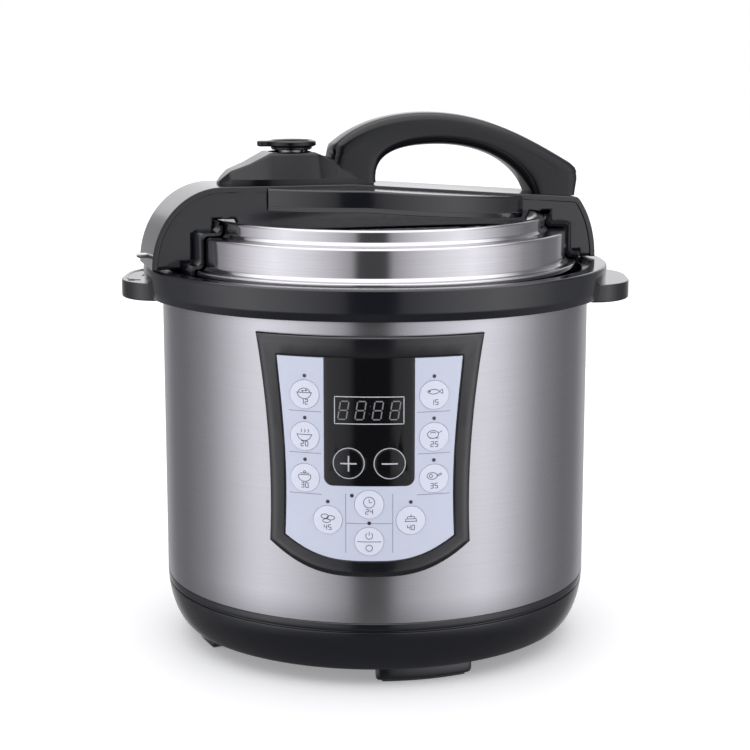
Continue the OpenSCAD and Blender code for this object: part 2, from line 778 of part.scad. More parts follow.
module lid_shell() {
    color("silver") on_lid() difference() {
        union() {
            difference() {
                rotate_extrude($fn = 128) polygon(concat(lid_section(0), [[crown_r - 5, lid_top],
                    [dish_r + 1, dish_z + 1], [dish_r - 3, dish_z], [0, dish_z]]));
                rotate_extrude($fn = 128) polygon([[0, skirt_low_z - 1], [skirt_in_r, skirt_low_z - 1],
                    [skirt_in_r, flange_z - lid_wall], [band_r - lid_wall, flange_z - lid_wall],
                    [band_r - lid_wall, step_z - lid_wall], [crown_r - lid_wall, step_z - lid_wall],
                    [crown_r - lid_wall, lid_top - lid_wall], [crown_r - 5, lid_top - lid_wall],
                    [dish_r, dish_z - lid_wall], [0, dish_z - lid_wall]]);
            }
            for (i = [0:teeth - 1])
                sector(claw_in_r, skirt_in_r + 1, claw_span, i * 360 / teeth, skirt_low_z, claw_t);
        }
        translate([-valve_x, 0, dish_z - 5]) cylinder(r = pipe_r, h = 10);
        translate([float_u, float_v, dish_z - 5]) cylinder(d = float_d + 2.4, h = 10);
        for (b = boss_places) translate([b[0], b[1], dish_z - 5]) cylinder(r = bolt_r, h = 10);
    }
}

module lid_bolts() {
    color("silver") on_lid() for (b = boss_places) translate([b[0], b[1], dish_z - lid_wall])
        mirror([0, 0, 1]) {
            cylinder(r = bolt_r + 2, h = 2.4);
            mirror([0, 0, 1]) cylinder(r = bolt_r, h = lid_wall + 10);
        }
}

module exhaust_pipe() {
    color("silver") on_lid() translate([-valve_x, 0, 0]) difference() {
        union() {
            translate([0, 0, pipe_low]) cylinder(r = pipe_r, h = pipe_top - pipe_low);
            translate([0, 0, dish_z]) cylinder(r = pipe_r + 4, h = 2);
            translate([0, 0, pipe_top - eps]) cylinder(r1 = pipe_r - 1, r2 = pipe_bore + 0.6, h = 3);
        }
        translate([0, 0, dish_z - 20]) cylinder(r = pipe_bore, h = 100);
    }
}

module exhaust_nut() {
    color("silver") on_lid() translate([-valve_x, 0, dish_z - lid_wall - 4]) difference() {
        cylinder(r = pipe_r + 3.5, h = 4, $fn = 6);
        translate([0, 0, -1]) cylinder(r = pipe_r, h = 6);
    }
}

module steam_filter() {
    low = dish_z - lid_wall - 12;
    color("silver") on_lid() translate([-valve_x, 0, low]) difference() {
        cylinder(r = pipe_r + 5.5, h = 12);
        translate([0, 0, 1]) cylinder(r = pipe_r + 4.5, h = 12);
        for (a = [0:11]) rotate([0, 90, a * 30]) translate([-4.5, 0, 5]) cylinder(r = 1.2, h = 10, $fn = 20);
        cylinder(r = 1.2, h = 3, center = true, $fn = 20);
    }
}

module float_pin() {
    color([0.75, 0.2, 0.15]) on_lid() translate([float_u, float_v, 0]) {
        translate([0, 0, dish_z - 7]) cylinder(d = float_d, h = deck(float_u) - dish_z + 5);
        translate([0, 0, dish_z - 9]) cylinder(d = float_d + 5, h = 2);
    }
}

module float_gasket() {
    color([0.8, 0.8, 0.78]) on_lid() translate([float_u, float_v, 0])
        tube(float_d / 2 + 1.2, float_d / 2 + 0.3, dish_z - lid_wall, lid_wall);
}

// Side of the bridge, inset by d: a flat deck that falls to the right, bent down at both ends
module bridge_side(d) {
    mid = bridge_end - bridge_bend;
    rise = deck_z - bridge_low;
    intersection() {
        polygon(concat([[mid + bridge_bend - d, bridge_low - 1]],
            arc([mid, bridge_low], bridge_bend - d, rise - d, 0, 90, 20),
            arc([-mid, bridge_low], bridge_bend - d, rise - d, 90, 180, 20),
            [[-bridge_end + d, bridge_low - 1]]));
        polygon([[-200, bridge_low], [200, bridge_low], [200, deck(200) - d],
            [slope_u, deck_z - d], [-200, deck_z - d]]);
    }
}

module bulge_plan(d) {
    intersection() {
        translate([bulge_u, bulge_r - bulge_out]) circle(r = bulge_r - d, $fn = 200);
        translate([bulge_u - bulge_half + d, -bulge_out - 5]) square([2 * (bulge_half - d), bulge_out]);
    }
}

module bridge() {
    color([0.04, 0.04, 0.06]) on_lid() difference() {
        union() {
            difference() {
                union() {
                    upright(bridge_w) bridge_side(0);
                    intersection() {
                        linear_extrude(deck_z + 5) bulge_plan(0);
                        upright(200) bridge_side(2.5);
                        translate([-150, -100, deck_z - bulge_depth]) cube([300, 200, 60]);
                    }
                }
                upright(bridge_w - 2 * bridge_wall) bridge_side(bridge_wall);
                intersection() {
                    linear_extrude(deck_z) bulge_plan(bridge_wall);
                    upright(200) bridge_side(bridge_wall + 2.5);
                }
                rotate_extrude($fn = 128) polygon(concat(lid_section(lid_clear), [[0, lid_top + lid_clear]]));
            }
            intersection() {
                for (b = boss_places) translate([b[0], b[1], dish_z]) cylinder(r = boss_r, h = 60);
                upright(bridge_w) bridge_side(1);
            }
            intersection() {
                rotate([0, -90, 0]) translate([pin_z, 0, bridge_end - 16]) cylinder(r = pin_r + 2.5, h = 14);
                upright(bridge_w) bridge_side(1);
            }
        }
        for (b = boss_places) translate([b[0], b[1], dish_z - 1]) cylinder(r = bolt_r, h = 12);
        translate([-valve_x, 0, dish_z]) cylinder(r = weight_r + 2, h = 60);
        translate([float_u, float_v, dish_z]) cylinder(d = float_d + 1, h = 60);
        translate([-bridge_end - 5, 0, pin_z]) rotate([0, 90, 0]) cylinder(r = pin_r + 0.06, h = 30);
        for (u = handle_screw_u) translate([u, 0, dish_z]) cylinder(r = bolt_r, h = 60);
    }
}

module lock_pin() {
    color("silver") on_lid() translate([-bridge_end, 0, pin_z]) rotate([0, 90, 0]) {
        translate([0, 0, -4]) cylinder(r = pin_r, h = 14);
        translate([0, 0, -5]) cylinder(r = pin_r - 0.5, h = 1 + eps);
    }
}

// ---- Handle ----

// Back of the handle, d below its outer edge
function handle_back(d) = concat(
    curve([foot_left_u + 1, crown_z - 20 - d], [foot_left_u + 16, crown_z - 6 - d],
        [handle_top_u - 24, crown_z - d], [handle_top_u, crown_z - d], 12),
    [for (p = curve([handle_top_u, crown_z - d], [handle_top_u + 38, crown_z - d],
        [foot_right_u - 33, crown_z - 16 - d], [foot_right_u - 4, crown_z - 33.5 - d], 14))
        if (p[0] > handle_top_u + 0.1) p]);

module handle_side() {
    polygon(concat([[foot_left_u, deck(foot_left_u)]], handle_back(cover_t + fit_gap),
        [[foot_right_u, crown_z - 35 - cover_t], [foot_right_u - 2, deck(foot_right_u - 2)],
        [inner_u, deck(inner_u)]],
        curve([inner_u, deck(inner_u) + 5], [inner_u - 10, crown_z - 31], [handle_top_u + 34, grip_z],
            [handle_top_u + 6, grip_z], 10),
        curve([handle_top_u + 4, grip_z], [handle_top_u - 20, grip_z], [foot_left_u + 28, crown_z - 28],
            [foot_left_u + 28, deck_z + 4], 10)));
}

// Room for the cover along the handle's back
module cover_room() {
    polygon(concat([[foot_left_u + 0.7, crown_z + 20], [foot_left_u + 0.7, crown_z - 20 - cover_t - fit_gap]],
        handle_back(cover_t + fit_gap),
        [[foot_right_u + 1, crown_z - 35 - cover_t], [foot_right_u + 1, crown_z + 20]]));
}

module handle_base() {
    color([0.04, 0.04, 0.06]) on_lid() difference() {
        union() {
            upright(handle_w) handle_side();
            hull() {
                translate([-valve_x, 0, deck_z])
                    cylinder(r1 = shroud_r + 7, r2 = shroud_r, h = shroud_top - deck_z, $fn = 32);
                translate([shroud_tip + 5, 0, deck_z]) cylinder(r = 5, h = 3, $fn = 32);
                translate([-20, 0, deck_z]) cylinder(r = handle_w / 2 + 2, h = 8, $fn = 32);
            }
        }
        translate([-valve_x, 0, deck_z - 5]) cylinder(r = weight_r + 1.5, h = 60);
        translate([-valve_x, 0, deck_z + 8]) cylinder(r = shroud_r - 3, h = 60);
        for (u = handle_screw_u) translate([u, 0, deck_z - 30]) cylinder(r = bolt_r, h = 42);
        upright(2 * handle_w) cover_room();
    }
}

module handle_cover() {
    color([0.03, 0.03, 0.04]) on_lid() upright(handle_w) polygon(concat(handle_back(0),
        [[foot_right_u, crown_z - 37.5], [foot_right_u, crown_z - 34.4 - cover_t]],
        [for (i = [len(handle_back(0)) - 1:-1:0]) handle_back(cover_t)[i]]));
}

module handle_screws() {
    color("silver") on_lid() for (u = handle_screw_u)
        translate([u, 0, deck(u) - bridge_wall - 0.6]) mirror([0, 0, 1]) {
            cylinder(r = bolt_r + 1.8, h = 2.2);
            mirror([0, 0, 1]) cylinder(r = bolt_r, h = 12);
        }
}

// ---- Pressure valve ----

module valve_weight() {
    color("silver") on_lid() translate([-valve_x, 0, 0]) difference() {
        translate([0, 0, weight_low]) cylinder(r = weight_r, h = knob_z - weight_low - fit_gap);
        translate([0, 0, weight_low - 1]) cylinder(r = pipe_r + socket_gap, h = pipe_top - weight_low + 1.3);
        translate([0, 0, pipe_top]) cylinder(r1 = pipe_r - 0.65, r2 = pipe_bore + 0.9, h = 3.4);
        translate([0, 0, pipe_top + 3]) cylinder(r = pipe_bore + 0.9, h = 1);
    }
}

module valve_knob() {
    color([0.05, 0.05, 0.06]) on_lid() translate([-valve_x, 0, 0]) {
        translate([0, 0, knob_z]) cylinder(d = knob_d, h = knob_t);
        difference() {
            translate([0, 0, shroud_top + 1]) cylinder(r = shroud_r - 3.4, h = knob_z - shroud_top - 1 + eps);
            translate([0, 0, shroud_top]) cylinder(r = weight_r + fit_gap, h = knob_z - shroud_top);
        }
        translate([-knob_d / 2 - 6, -4, knob_z]) cube([12, 8, knob_t]);
    }
}

base_shell();
feet();
foot_pads();
bottom_cover();
bottom_screws();
mains_inlet();
inlet_pins();
outer_shell();
collar();
pressure_housing();
housing_screws();
heating_plate();
heating_tube();
plate_spring();
temperature_sensor();
sensor_spring();
pressure_switch();
thermal_fuse();
power_board();
board_parts();
panel_bezel();
panel_membrane();
display_window();
display_module();
panel_lamps();
control_board();
key_switches();
key_plus();
key_minus();
key_left_top();
key_left_mid();
key_left_low();
key_right_top();
key_right_mid();
key_right_low();
key_inner_left();
key_inner_right();
key_timer();
key_cancel();
cup_holder();
condensate_cup();
inner_pot();
sealing_ring();
ring_rack();
lid_shell();
lid_bolts();
exhaust_pipe();
exhaust_nut();
steam_filter();
float_pin();
float_gasket();
bridge();
lock_pin();
handle_base();
handle_cover();
handle_screws();
valve_weight();
valve_knob();
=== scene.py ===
import json
import math
from contextlib import contextmanager
import bmesh
import bpy
from mathutils import Matrix, Vector


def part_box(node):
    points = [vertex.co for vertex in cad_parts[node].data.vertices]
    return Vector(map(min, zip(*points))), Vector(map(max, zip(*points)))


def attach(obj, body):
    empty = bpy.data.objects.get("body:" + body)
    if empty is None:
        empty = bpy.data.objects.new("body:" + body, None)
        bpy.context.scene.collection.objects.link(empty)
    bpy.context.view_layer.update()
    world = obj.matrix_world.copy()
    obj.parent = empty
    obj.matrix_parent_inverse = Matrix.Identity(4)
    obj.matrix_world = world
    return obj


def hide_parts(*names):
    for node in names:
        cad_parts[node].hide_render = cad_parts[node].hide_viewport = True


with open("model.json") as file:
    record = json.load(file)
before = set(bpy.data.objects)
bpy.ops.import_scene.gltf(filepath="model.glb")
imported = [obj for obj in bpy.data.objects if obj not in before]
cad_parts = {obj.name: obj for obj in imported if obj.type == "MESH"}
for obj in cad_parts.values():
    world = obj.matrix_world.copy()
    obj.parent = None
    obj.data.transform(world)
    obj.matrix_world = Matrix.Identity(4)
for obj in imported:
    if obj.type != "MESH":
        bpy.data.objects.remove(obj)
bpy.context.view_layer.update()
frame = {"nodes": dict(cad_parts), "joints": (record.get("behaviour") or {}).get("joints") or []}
mm = 0.001  # lengths below are in millimetres and meshes are in metres
print("frame loaded")


def box(node):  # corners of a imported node
    low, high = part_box(node)
    return low / mm, high / mm


shellLow, shellHigh = box("outer_shell")
shellR, shellZ, collarZ = shellHigh.x, shellLow.z, shellHigh.z
baseLow = box("base_shell")[0].z
collarLow, collarHigh = box("collar")
lugTip, mouthZ = collarHigh.x, collarHigh.z
skirtZ, lidTop = box("lid_shell")[0].z, box("lid_shell")[1].z
flangeR = box("lid_shell")[1].y
bridgeZ, deckZ = box("bridge")[0].z, box("bridge")[1].z
crownZ = box("handle_cover")[1].z
knobLow, knobHigh = box("valve_knob")
skinR = box("display_window")[0].y * -1
lidTurn = -math.radians(next(j for j in frame["joints"] if j["name"] == "lid_turn")["range_deg"][0])


def addObject(name, data):
    made = bpy.data.objects.new(name, data)
    bpy.context.scene.collection.objects.link(made)
    return made


def evaluated(obj):
    return bpy.data.meshes.new_from_object(obj.evaluated_get(bpy.context.evaluated_depsgraph_get()))


def applied(obj, kind, **settings):  # adds a modifier and keeps its result as the mesh
    step = obj.modifiers.new(kind, kind)
    for key, value in settings.items():
        setattr(step, key, value)
    mesh = evaluated(obj)
    obj.modifiers.clear()
    obj.data = mesh
    return obj


@contextmanager
def editing(mesh):  # the mesh opened for editing and written back at the end
    work = bmesh.new()
    work.from_mesh(mesh)
    yield work
    work.to_mesh(mesh)
    work.free()


def smooth(obj, angle):  # smooth shading up to an angle in degrees
    obj.data.shade_smooth()
    obj.data.set_sharp_from_angle(angle=math.radians(angle))
    return obj


def tidy(obj, angle=32, merge=1e-6):  # merges doubles, turns faces out and smooths shallow angles
    with editing(obj.data) as work:
        bmesh.ops.remove_doubles(work, verts=work.verts, dist=merge)
        bmesh.ops.dissolve_degenerate(work, edges=work.edges, dist=merge)
        bmesh.ops.recalc_face_normals(work, faces=work.faces)
    return smooth(obj, angle)


def paint(obj, material):
    obj.data.materials.clear()
    obj.data.materials.append(material)
    return obj


def joined(parts, name):  # one mesh from several, each keeping its own material
    mesh = bpy.data.meshes.new(name)
    materials = []
    with editing(mesh) as work:
        for part in parts:
            first = len(work.faces)
            work.from_mesh(part.data)
            work.faces.ensure_lookup_table()
            material = part.data.materials[0]
            if material not in materials:
                materials.append(material)
                mesh.materials.append(material)
            for face in work.faces[first:]:
                face.material_index = materials.index(material)
    for part in parts:
        bpy.data.objects.remove(part)
    return addObject(name, mesh)


def cut(body, tool, how="DIFFERENCE"):
    applied(body, "BOOLEAN", operation=how, solver="EXACT", object=tool)
    bpy.data.objects.remove(tool)
    return body


def moved(obj, x=0, y=0, z=0):
    obj.data.transform(Matrix.Translation((x * mm, y * mm, z * mm)))
    return obj


def rounded(points, steps=5):  # outline of (x, y, radius) corners with arcs in place of the corners
    path = []
    count = len(points)
    for i, (x, y, radius) in enumerate(points):
        corner = Vector((x, y))
        before = Vector(points[i - 1][:2]) - corner
        after = Vector(points[(i + 1) % count][:2]) - corner
        turn = before.angle(after) if before.length and after.length else math.pi
        if radius <= 0 or turn > math.pi - 0.02:
            path.append((x, y))
            continue
        reach = min(radius / math.tan(turn / 2), before.length * 0.49, after.length * 0.49)
        radius = reach * math.tan(turn / 2)
        before, after = before.normalized(), after.normalized()
        start, end = corner + before * reach, corner + after * reach
        middle = corner + (before + after).normalized() * (radius / math.sin(turn / 2))
        for k in range(steps + 1):
            spoke = (start - middle).lerp(end - middle, k / steps).normalized() * radius
            path.append(tuple(middle + spoke))
    return path


def rectangle(halfX, halfY, radius, steps=5):
    corners = [(-halfX, -halfY), (halfX, -halfY), (halfX, halfY), (-halfX, halfY)]
    return rounded([(x, y, radius) for x, y in corners], steps)


def bezier(a, b, c, d, steps):
    path = []
    for i in range(steps + 1):
        t = i / steps
        s = 1 - t
        path.append(tuple(s**3 * p + 3 * s * s * t * q + 3 * s * t * t * r + t**3 * w
                          for p, q, r, w in zip(a, b, c, d)))
    return path


def oval(cx, cy, rx, ry, start=0, end=360, steps=16):
    turns = [math.radians(start + (end - start) * i / steps) for i in range(steps + 1)]
    return [(cx + rx * math.cos(t), cy + ry * math.sin(t)) for t in turns]


def evenly(path, count):  # the same line with its points at equal distances
    lengths = [0.0]
    for a, b in zip(path, path[1:]):
        lengths.append(lengths[-1] + math.dist(a, b))
    result, k = [], 0
    for i in range(count):
        want = lengths[-1] * i / (count - 1)
        while k < len(path) - 2 and lengths[k + 1] < want:
            k += 1
        t = (want - lengths[k]) / max(lengths[k + 1] - lengths[k], 1e-9)
        result.append(tuple(a + (b - a) * t for a, b in zip(path[k], path[k + 1])))
    return result


def loft(name, rings, material, loop=False):  # skin over closed sections of equal counts
    mesh = bpy.data.meshes.new(name)
    with editing(mesh) as work:
        made = [[work.verts.new(Vector(p) * mm) for p in ring] for ring in rings]
        count = len(rings[0])
        for a, b in list(zip(made, made[1:])) + ([(made[-1], made[0])] if loop else []):
            for i in range(count):
                k = (i + 1) % count
                work.faces.new((a[i], a[k], b[k], b[i]))
        if not loop:
            work.faces.new(made[0])
            work.faces.new(made[-1])
    return tidy(paint(addObject(name, mesh), material))


def curveOf(name, lines, **settings):  # each line is its points and whether it closes
    curve = bpy.data.curves.new(name, "CURVE")
    for key, value in settings.items():
        setattr(curve, key, value)
    for points, closed in lines:
        spline = curve.splines.new("POLY")
        spline.points.add(len(points) - 1)
        for point, (x, y) in zip(spline.points, points):
            point.co = (x * mm, y * mm, 0, 1)
        spline.use_cyclic_u = closed
    return addObject(name, curve)


def meshOf(obj, name, material):  # a curve turned into a painted mesh
    made = addObject(name, evaluated(obj))
    bpy.data.objects.remove(obj)
    return paint(made, material)


def plate(name, outlines, thick, edge, material, steps=3):  # flat plate in XY round z = 0 with rounded edges
    curve = curveOf(name, [(outline, True) for outline in outlines], dimensions="2D", fill_mode="BOTH",
                    extrude=(thick / 2 - edge) * mm, bevel_depth=edge * mm, bevel_resolution=steps,
                    offset=-edge * mm)
    return tidy(meshOf(curve, name, material))


def stepped(line, step):  # more points on the long stretches, so that the line can follow a curved surface
    path = [line[0]]
    for a, b in zip(line, line[1:]):
        count = max(1, math.ceil(math.dist(a, b) / step))
        path += [(a[0] + (b[0] - a[0]) * i / count, a[1] + (b[1] - a[1]) * i / count)
                 for i in range(1, count + 1)]
    return path


def strokes(name, lines, radius, material, flat=0.4, height=None):  # printed lines in XY, as low ridges
    paths = []
    for line in lines:
        closed = math.dist(line[0], line[-1]) < 1e-6 and len(line) > 2
        points = stepped(line, 1.2)
        paths.append((points[:-1] if closed else points, closed))
    curve = curveOf(name, paths, dimensions="3D", bevel_depth=radius * mm, bevel_resolution=1,
                    use_fill_caps=True)
    made = meshOf(curve, name, material)
    for vertex in made.data.vertices:
        vertex.co.z *= flat
        if height:
            vertex.co.z += height(vertex.co.x / mm, vertex.co.y / mm) * mm
    return tidy(made)


def bent(obj, step=4, radius=skinR, shift=(0, 0)):  # wraps a flat plate round the shell, its y up
    moved(obj, *shift)
    if step:
        xs = [v.co.x / mm for v in obj.data.vertices]
        with editing(obj.data) as work:
            x = math.ceil(min(xs) / step) * step
            while x < max(xs):
                everything = work.verts[:] + work.edges[:] + work.faces[:]
                bmesh.ops.bisect_plane(work, geom=everything, plane_co=(x * mm, 0, 0), plane_no=(1, 0, 0))
                x += step
    for vertex in obj.data.vertices:
        x, y, out = vertex.co / mm
        turn = math.asin(max(-1, min(1, x / skinR)))
        reach = radius + out
        vertex.co = Vector((reach * math.sin(turn), -reach * math.cos(turn), shellZ + y)) * mm
    return tidy(obj, angle=40)


def upright(obj):  # a plate drawn in XY stands up in XZ, still centred on Y
    obj.data.transform(Matrix.Rotation(math.pi / 2, 4, "X"))
    return obj


def evenShading(obj):  # flat faces stay flat next to rounded edges
    return applied(obj, "WEIGHTED_NORMAL", keep_sharp=True)


def onLid(obj):
    obj.data.transform(Matrix.Rotation(lidTurn, 4, "Z"))
    return obj


def newTree(kind, name, inputs, outputs):  # sockets as (label, kind) or (label, kind, value)
    tree = bpy.data.node_groups.new(name, kind)
    for way, sockets in (("INPUT", inputs), ("OUTPUT", outputs)):
        for label, sort, *value in sockets:
            socket = tree.interface.new_socket(label, in_out=way, socket_type="NodeSocket" + sort)
            if value:
                socket.default_value = value[0]
    return tree, tree.nodes.new("NodeGroupInput").outputs


def addNode(tree, kind, inputs=(), **settings):  # an input takes a value or another node's socket
    node = tree.nodes.new(kind)
    for key, value in settings.items():
        setattr(node, key, value)
    for label, value in dict(inputs).items():
        if isinstance(value, bpy.types.NodeSocket):
            tree.links.new(value, node.inputs[label])
        else:
            node.inputs[label].default_value = value
    return node.outputs


def ended(tree, **results):
    addNode(tree, "NodeGroupOutput", results)
    return tree


def mathNode(tree, operation, *values, clamp=False):
    return addNode(tree, "ShaderNodeMath", enumerate(values), operation=operation, use_clamp=clamp)["Value"]


def shapeTree(name, inputs):
    inputs = [("Geometry", "Geometry"), *inputs, ("Material", "Material")]
    return newTree("GeometryNodeTree", name, inputs, [("Geometry", "Geometry")])


def painted(tree, source, given):  # every tree ends in Realize Instances and Set Material
    real = addNode(tree, "GeometryNodeRealizeInstances", {"Geometry": source})["Geometry"]
    result = addNode(tree, "GeometryNodeSetMaterial", {"Geometry": real, "Material": given["Material"]})
    return ended(tree, Geometry=result["Geometry"])


def copied(tree, given, offset, rotation=(0, 0, 0)):  # an instance on each point of a line of points
    points = addNode(tree, "GeometryNodeMeshLine", {"Count": given["Count"], "Offset": offset})["Mesh"]
    copies = addNode(tree, "GeometryNodeInstanceOnPoints",
                     {"Points": points, "Instance": given["Geometry"], "Rotation": rotation})
    return painted(tree, copies["Instances"], given)


def spunTree():  # turns a profile drawn as a curve round the Z axis
    tree, given = shapeTree("spunBody", [("Segments", "Int"), ("Hub", "Float")])
    wheel = addNode(tree, "GeometryNodeCurvePrimitiveCircle",
                    {"Resolution": given["Segments"], "Radius": given["Hub"]})["Curve"]
    sweep = addNode(tree, "GeometryNodeCurveToMesh", {"Curve": wheel, "Profile Curve": given["Geometry"]})
    weld = addNode(tree, "GeometryNodeMergeByDistance", {"Geometry": sweep["Mesh"], "Distance": 1e-6})
    return painted(tree, weld["Geometry"], given)


def ringTree():  # copies of a piece round the Z axis
    tree, given = shapeTree("ringOf", [("Count", "Int"), ("Start", "Float")])
    index = addNode(tree, "GeometryNodeInputIndex")["Index"]
    share = mathNode(tree, "DIVIDE", index, given["Count"])
    turn = mathNode(tree, "MULTIPLY_ADD", share, 2 * math.pi, given["Start"])
    return copied(tree, given, (0, 0, 0), addNode(tree, "ShaderNodeCombineXYZ", {"Z": turn})["Vector"])


def rowTree():  # copies of a piece along a straight line
    tree, given = shapeTree("rowOf", [("Count", "Int"), ("Step", "Vector")])
    return copied(tree, given, given["Step"])


spunBody, ringOf, rowOf = spunTree(), ringTree(), rowTree()


def applyTree(obj, tree, values, name):
    step = obj.modifiers.new("shape", "NODES")
    step.node_group = tree
    for item in tree.interface.items_tree:
        if item.in_out == "INPUT" and item.name in values:
            step[item.identifier] = values[item.name]
    mesh = evaluated(obj)
    bpy.data.objects.remove(obj)
    return tidy(addObject(name, mesh))


def spin(name, profile, material, segments=192, loop=True):  # profile of (radius, height) points
    hub = 1.0
    curve = curveOf(name, [([(radius - hub, -height) for radius, height in profile], loop)], dimensions="3D")
    return applyTree(curve, spunBody, {"Segments": segments, "Hub": hub * mm, "Material": material}, name)


def ring(piece, count, start, material, name):
    values = {"Count": count, "Start": math.radians(start), "Material": material}
    return applyTree(piece, ringOf, values, name)


print("tools ready")


def shaderGroup(name, inputs, outputs):
    group, given = newTree("ShaderNodeTree", name, inputs, outputs)
    return group, given, addNode(group, "ShaderNodeTexCoord")["Object"]


def noiseNode(tree, vector, scale, detail=4, rough=0.6):
    return addNode(tree, "ShaderNodeTexNoise", {"Vector": vector, "Scale": scale, "Detail": detail,
                                                "Roughness": rough})["Fac"]


def stretched(tree, value, middle, gain, clamp=False):  # a noise value centred and widened
    return mathNode(tree, "MULTIPLY", mathNode(tree, "SUBTRACT", value, middle), gain, clamp=clamp)


def toneGroup():  # slow drift of a colour over the surface
    group, given, place = shaderGroup("toneDrift", [("Colour", "Color"), ("Amount", "Float", 0.1),
                                                    ("Scale", "Float", 20.0)], [("Colour", "Color")])
    swing = stretched(group, noiseNode(group, place, given["Scale"]), 0.5, given["Amount"])
    lift = mathNode(group, "MULTIPLY_ADD", swing, 2.0, 1.0)
    tint = addNode(group, "ShaderNodeVectorMath", {0: given["Colour"], "Scale": lift}, operation="SCALE")
    return ended(group, Colour=tint["Vector"])


def wearGroup():  # mask of rubbed outer edges, broken up by noise
    group, given, place = shaderGroup("edgeWear", [("Sharpness", "Float", 12.0), ("Scale", "Float", 90.0)],
                                      [("Mask", "Float")])
    shape = addNode(group, "ShaderNodeNewGeometry")["Pointiness"]
    edge = stretched(group, shape, 0.515, given["Sharpness"], clamp=True)
    patch = stretched(group, noiseNode(group, place, given["Scale"], 6, 0.7), 0.42, 4.0, clamp=True)
    return ended(group, Mask=mathNode(group, "MULTIPLY", edge, patch))


def smudgeGroup():  # roughness with faint hand marks and cloudy wiping
    group, given, place = shaderGroup("smudges", [("Roughness", "Float", 0.2), ("Amount", "Float", 0.05),
                                                  ("Scale", "Float", 14.0)], [("Roughness", "Float")])
    wide = stretched(group, noiseNode(group, place, given["Scale"], 5, 0.65), 0.45, 2.0)
    rough = mathNode(group, "MULTIPLY_ADD", wide, given["Amount"], given["Roughness"], clamp=True)
    return ended(group, Roughness=rough)


def grainGroup():  # fine pebble of a moulded or cast surface
    group, given, place = shaderGroup("fineGrain", [("Scale", "Float", 2500.0), ("Depth", "Float", 0.3)],
                                      [("Height", "Float")])
    pebble = noiseNode(group, place, given["Scale"], 2, 0.5)
    return ended(group, Height=mathNode(group, "MULTIPLY", pebble, given["Depth"]))


def turnedGroup():  # brushing that runs round the Z axis
    group, given, place = shaderGroup("turnedGrain", [("Lines", "Float", 2600.0), ("Run", "Float", 5.0),
                                                      ("Depth", "Float", 0.5)],
                                      [("Height", "Float"), ("Streak", "Float")])
    parts = addNode(group, "ShaderNodeSeparateXYZ", {"Vector": place})
    around = mathNode(group, "ARCTAN2", parts["Y"], parts["X"])
    flat = addNode(group, "ShaderNodeVectorMath", {0: place, 1: (1, 1, 0)}, operation="MULTIPLY")["Vector"]
    reach = addNode(group, "ShaderNodeVectorMath", {0: flat}, operation="LENGTH")["Value"]
    across = mathNode(group, "MULTIPLY", reach, given["Lines"])
    where = {axis: mathNode(group, "MULTIPLY", mathNode(group, wave, around), given["Run"])
             for axis, wave in (("X", "SINE"), ("Y", "COSINE"))}
    where["Z"] = mathNode(group, "ADD", mathNode(group, "MULTIPLY", parts["Z"], given["Lines"]), across)
    streak = noiseNode(group, addNode(group, "ShaderNodeCombineXYZ", where)["Vector"], 1.0, 5, 0.7)
    return ended(group, Height=mathNode(group, "MULTIPLY", streak, given["Depth"]), Streak=streak)


toneDrift, edgeWear, smudges = toneGroup(), wearGroup(), smudgeGroup()
fineGrain, turnedGrain = grainGroup(), turnedGroup()
fine = {"Scale": 2600.0, "Depth": 1.0}
coarse = {"Scale": 1100.0, "Depth": 1.0}


def mixed(tree, factor, first, second):
    return addNode(tree, "ShaderNodeMix", {"Factor": factor, "A": first, "B": (*second, 1)},
                   data_type="RGBA")["Result"]


def surface(name, colour, rough, metal=0.0, coat=0.0, tone=0.08, toneScale=20.0, smudge=0.04, wear=0.5,
            wearColour=None, grain=fine, brushed=None, streaks=0.0, bump=0.02, anisotropy=0.0, sheen=0.0,
            through=0.0, glow=0.0, ior=1.5):
    material = bpy.data.materials.new(name)
    material.use_nodes = True
    tree = material.node_tree
    tree.nodes.clear()

    def placed(group, **values):
        return addNode(tree, "ShaderNodeGroup", values, node_tree=group)

    base = placed(toneDrift, Colour=(*colour, 1), Amount=tone, Scale=toneScale)["Colour"]
    relief = placed(turnedGrain, **brushed) if brushed else placed(fineGrain, **grain)
    if streaks:
        light = addNode(tree, "ShaderNodeMapRange", {
            "Value": relief["Streak"], "From Min": 0.3, "From Max": 0.7, "To Min": 1 - streaks,
            "To Max": 1 + streaks})["Result"]
        base = addNode(tree, "ShaderNodeVectorMath", {0: base, "Scale": light}, operation="SCALE")["Vector"]
    rubbed = placed(edgeWear, Sharpness=14.0, Scale=130.0)["Mask"]
    lighter = wearColour or tuple(min(1, c * 1.7 + 0.015) for c in colour)
    marks = placed(smudges, Roughness=rough, Amount=smudge, Scale=16.0)["Roughness"]
    raised = addNode(tree, "ShaderNodeBump", {"Height": relief["Height"], "Strength": bump,
                                              "Distance": 0.0004})["Normal"]
    values = {
        "Base Color": mixed(tree, mathNode(tree, "MULTIPLY", rubbed, wear), base, lighter),
        "Roughness": marks, "Normal": raised, "Metallic": metal, "Coat Weight": coat, "Coat Roughness": 0.06,
        "IOR": ior, "Anisotropic": anisotropy, "Anisotropic Rotation": 0.25 if anisotropy else 0.0,
        "Sheen Weight": sheen, "Transmission Weight": through,
    }
    if glow:
        values.update({"Emission Color": (*colour, 1), "Emission Strength": glow})
    shader = addNode(tree, "ShaderNodeBsdfPrincipled", values)["BSDF"]
    addNode(tree, "ShaderNodeOutputMaterial", {"Surface": shader})
    return material


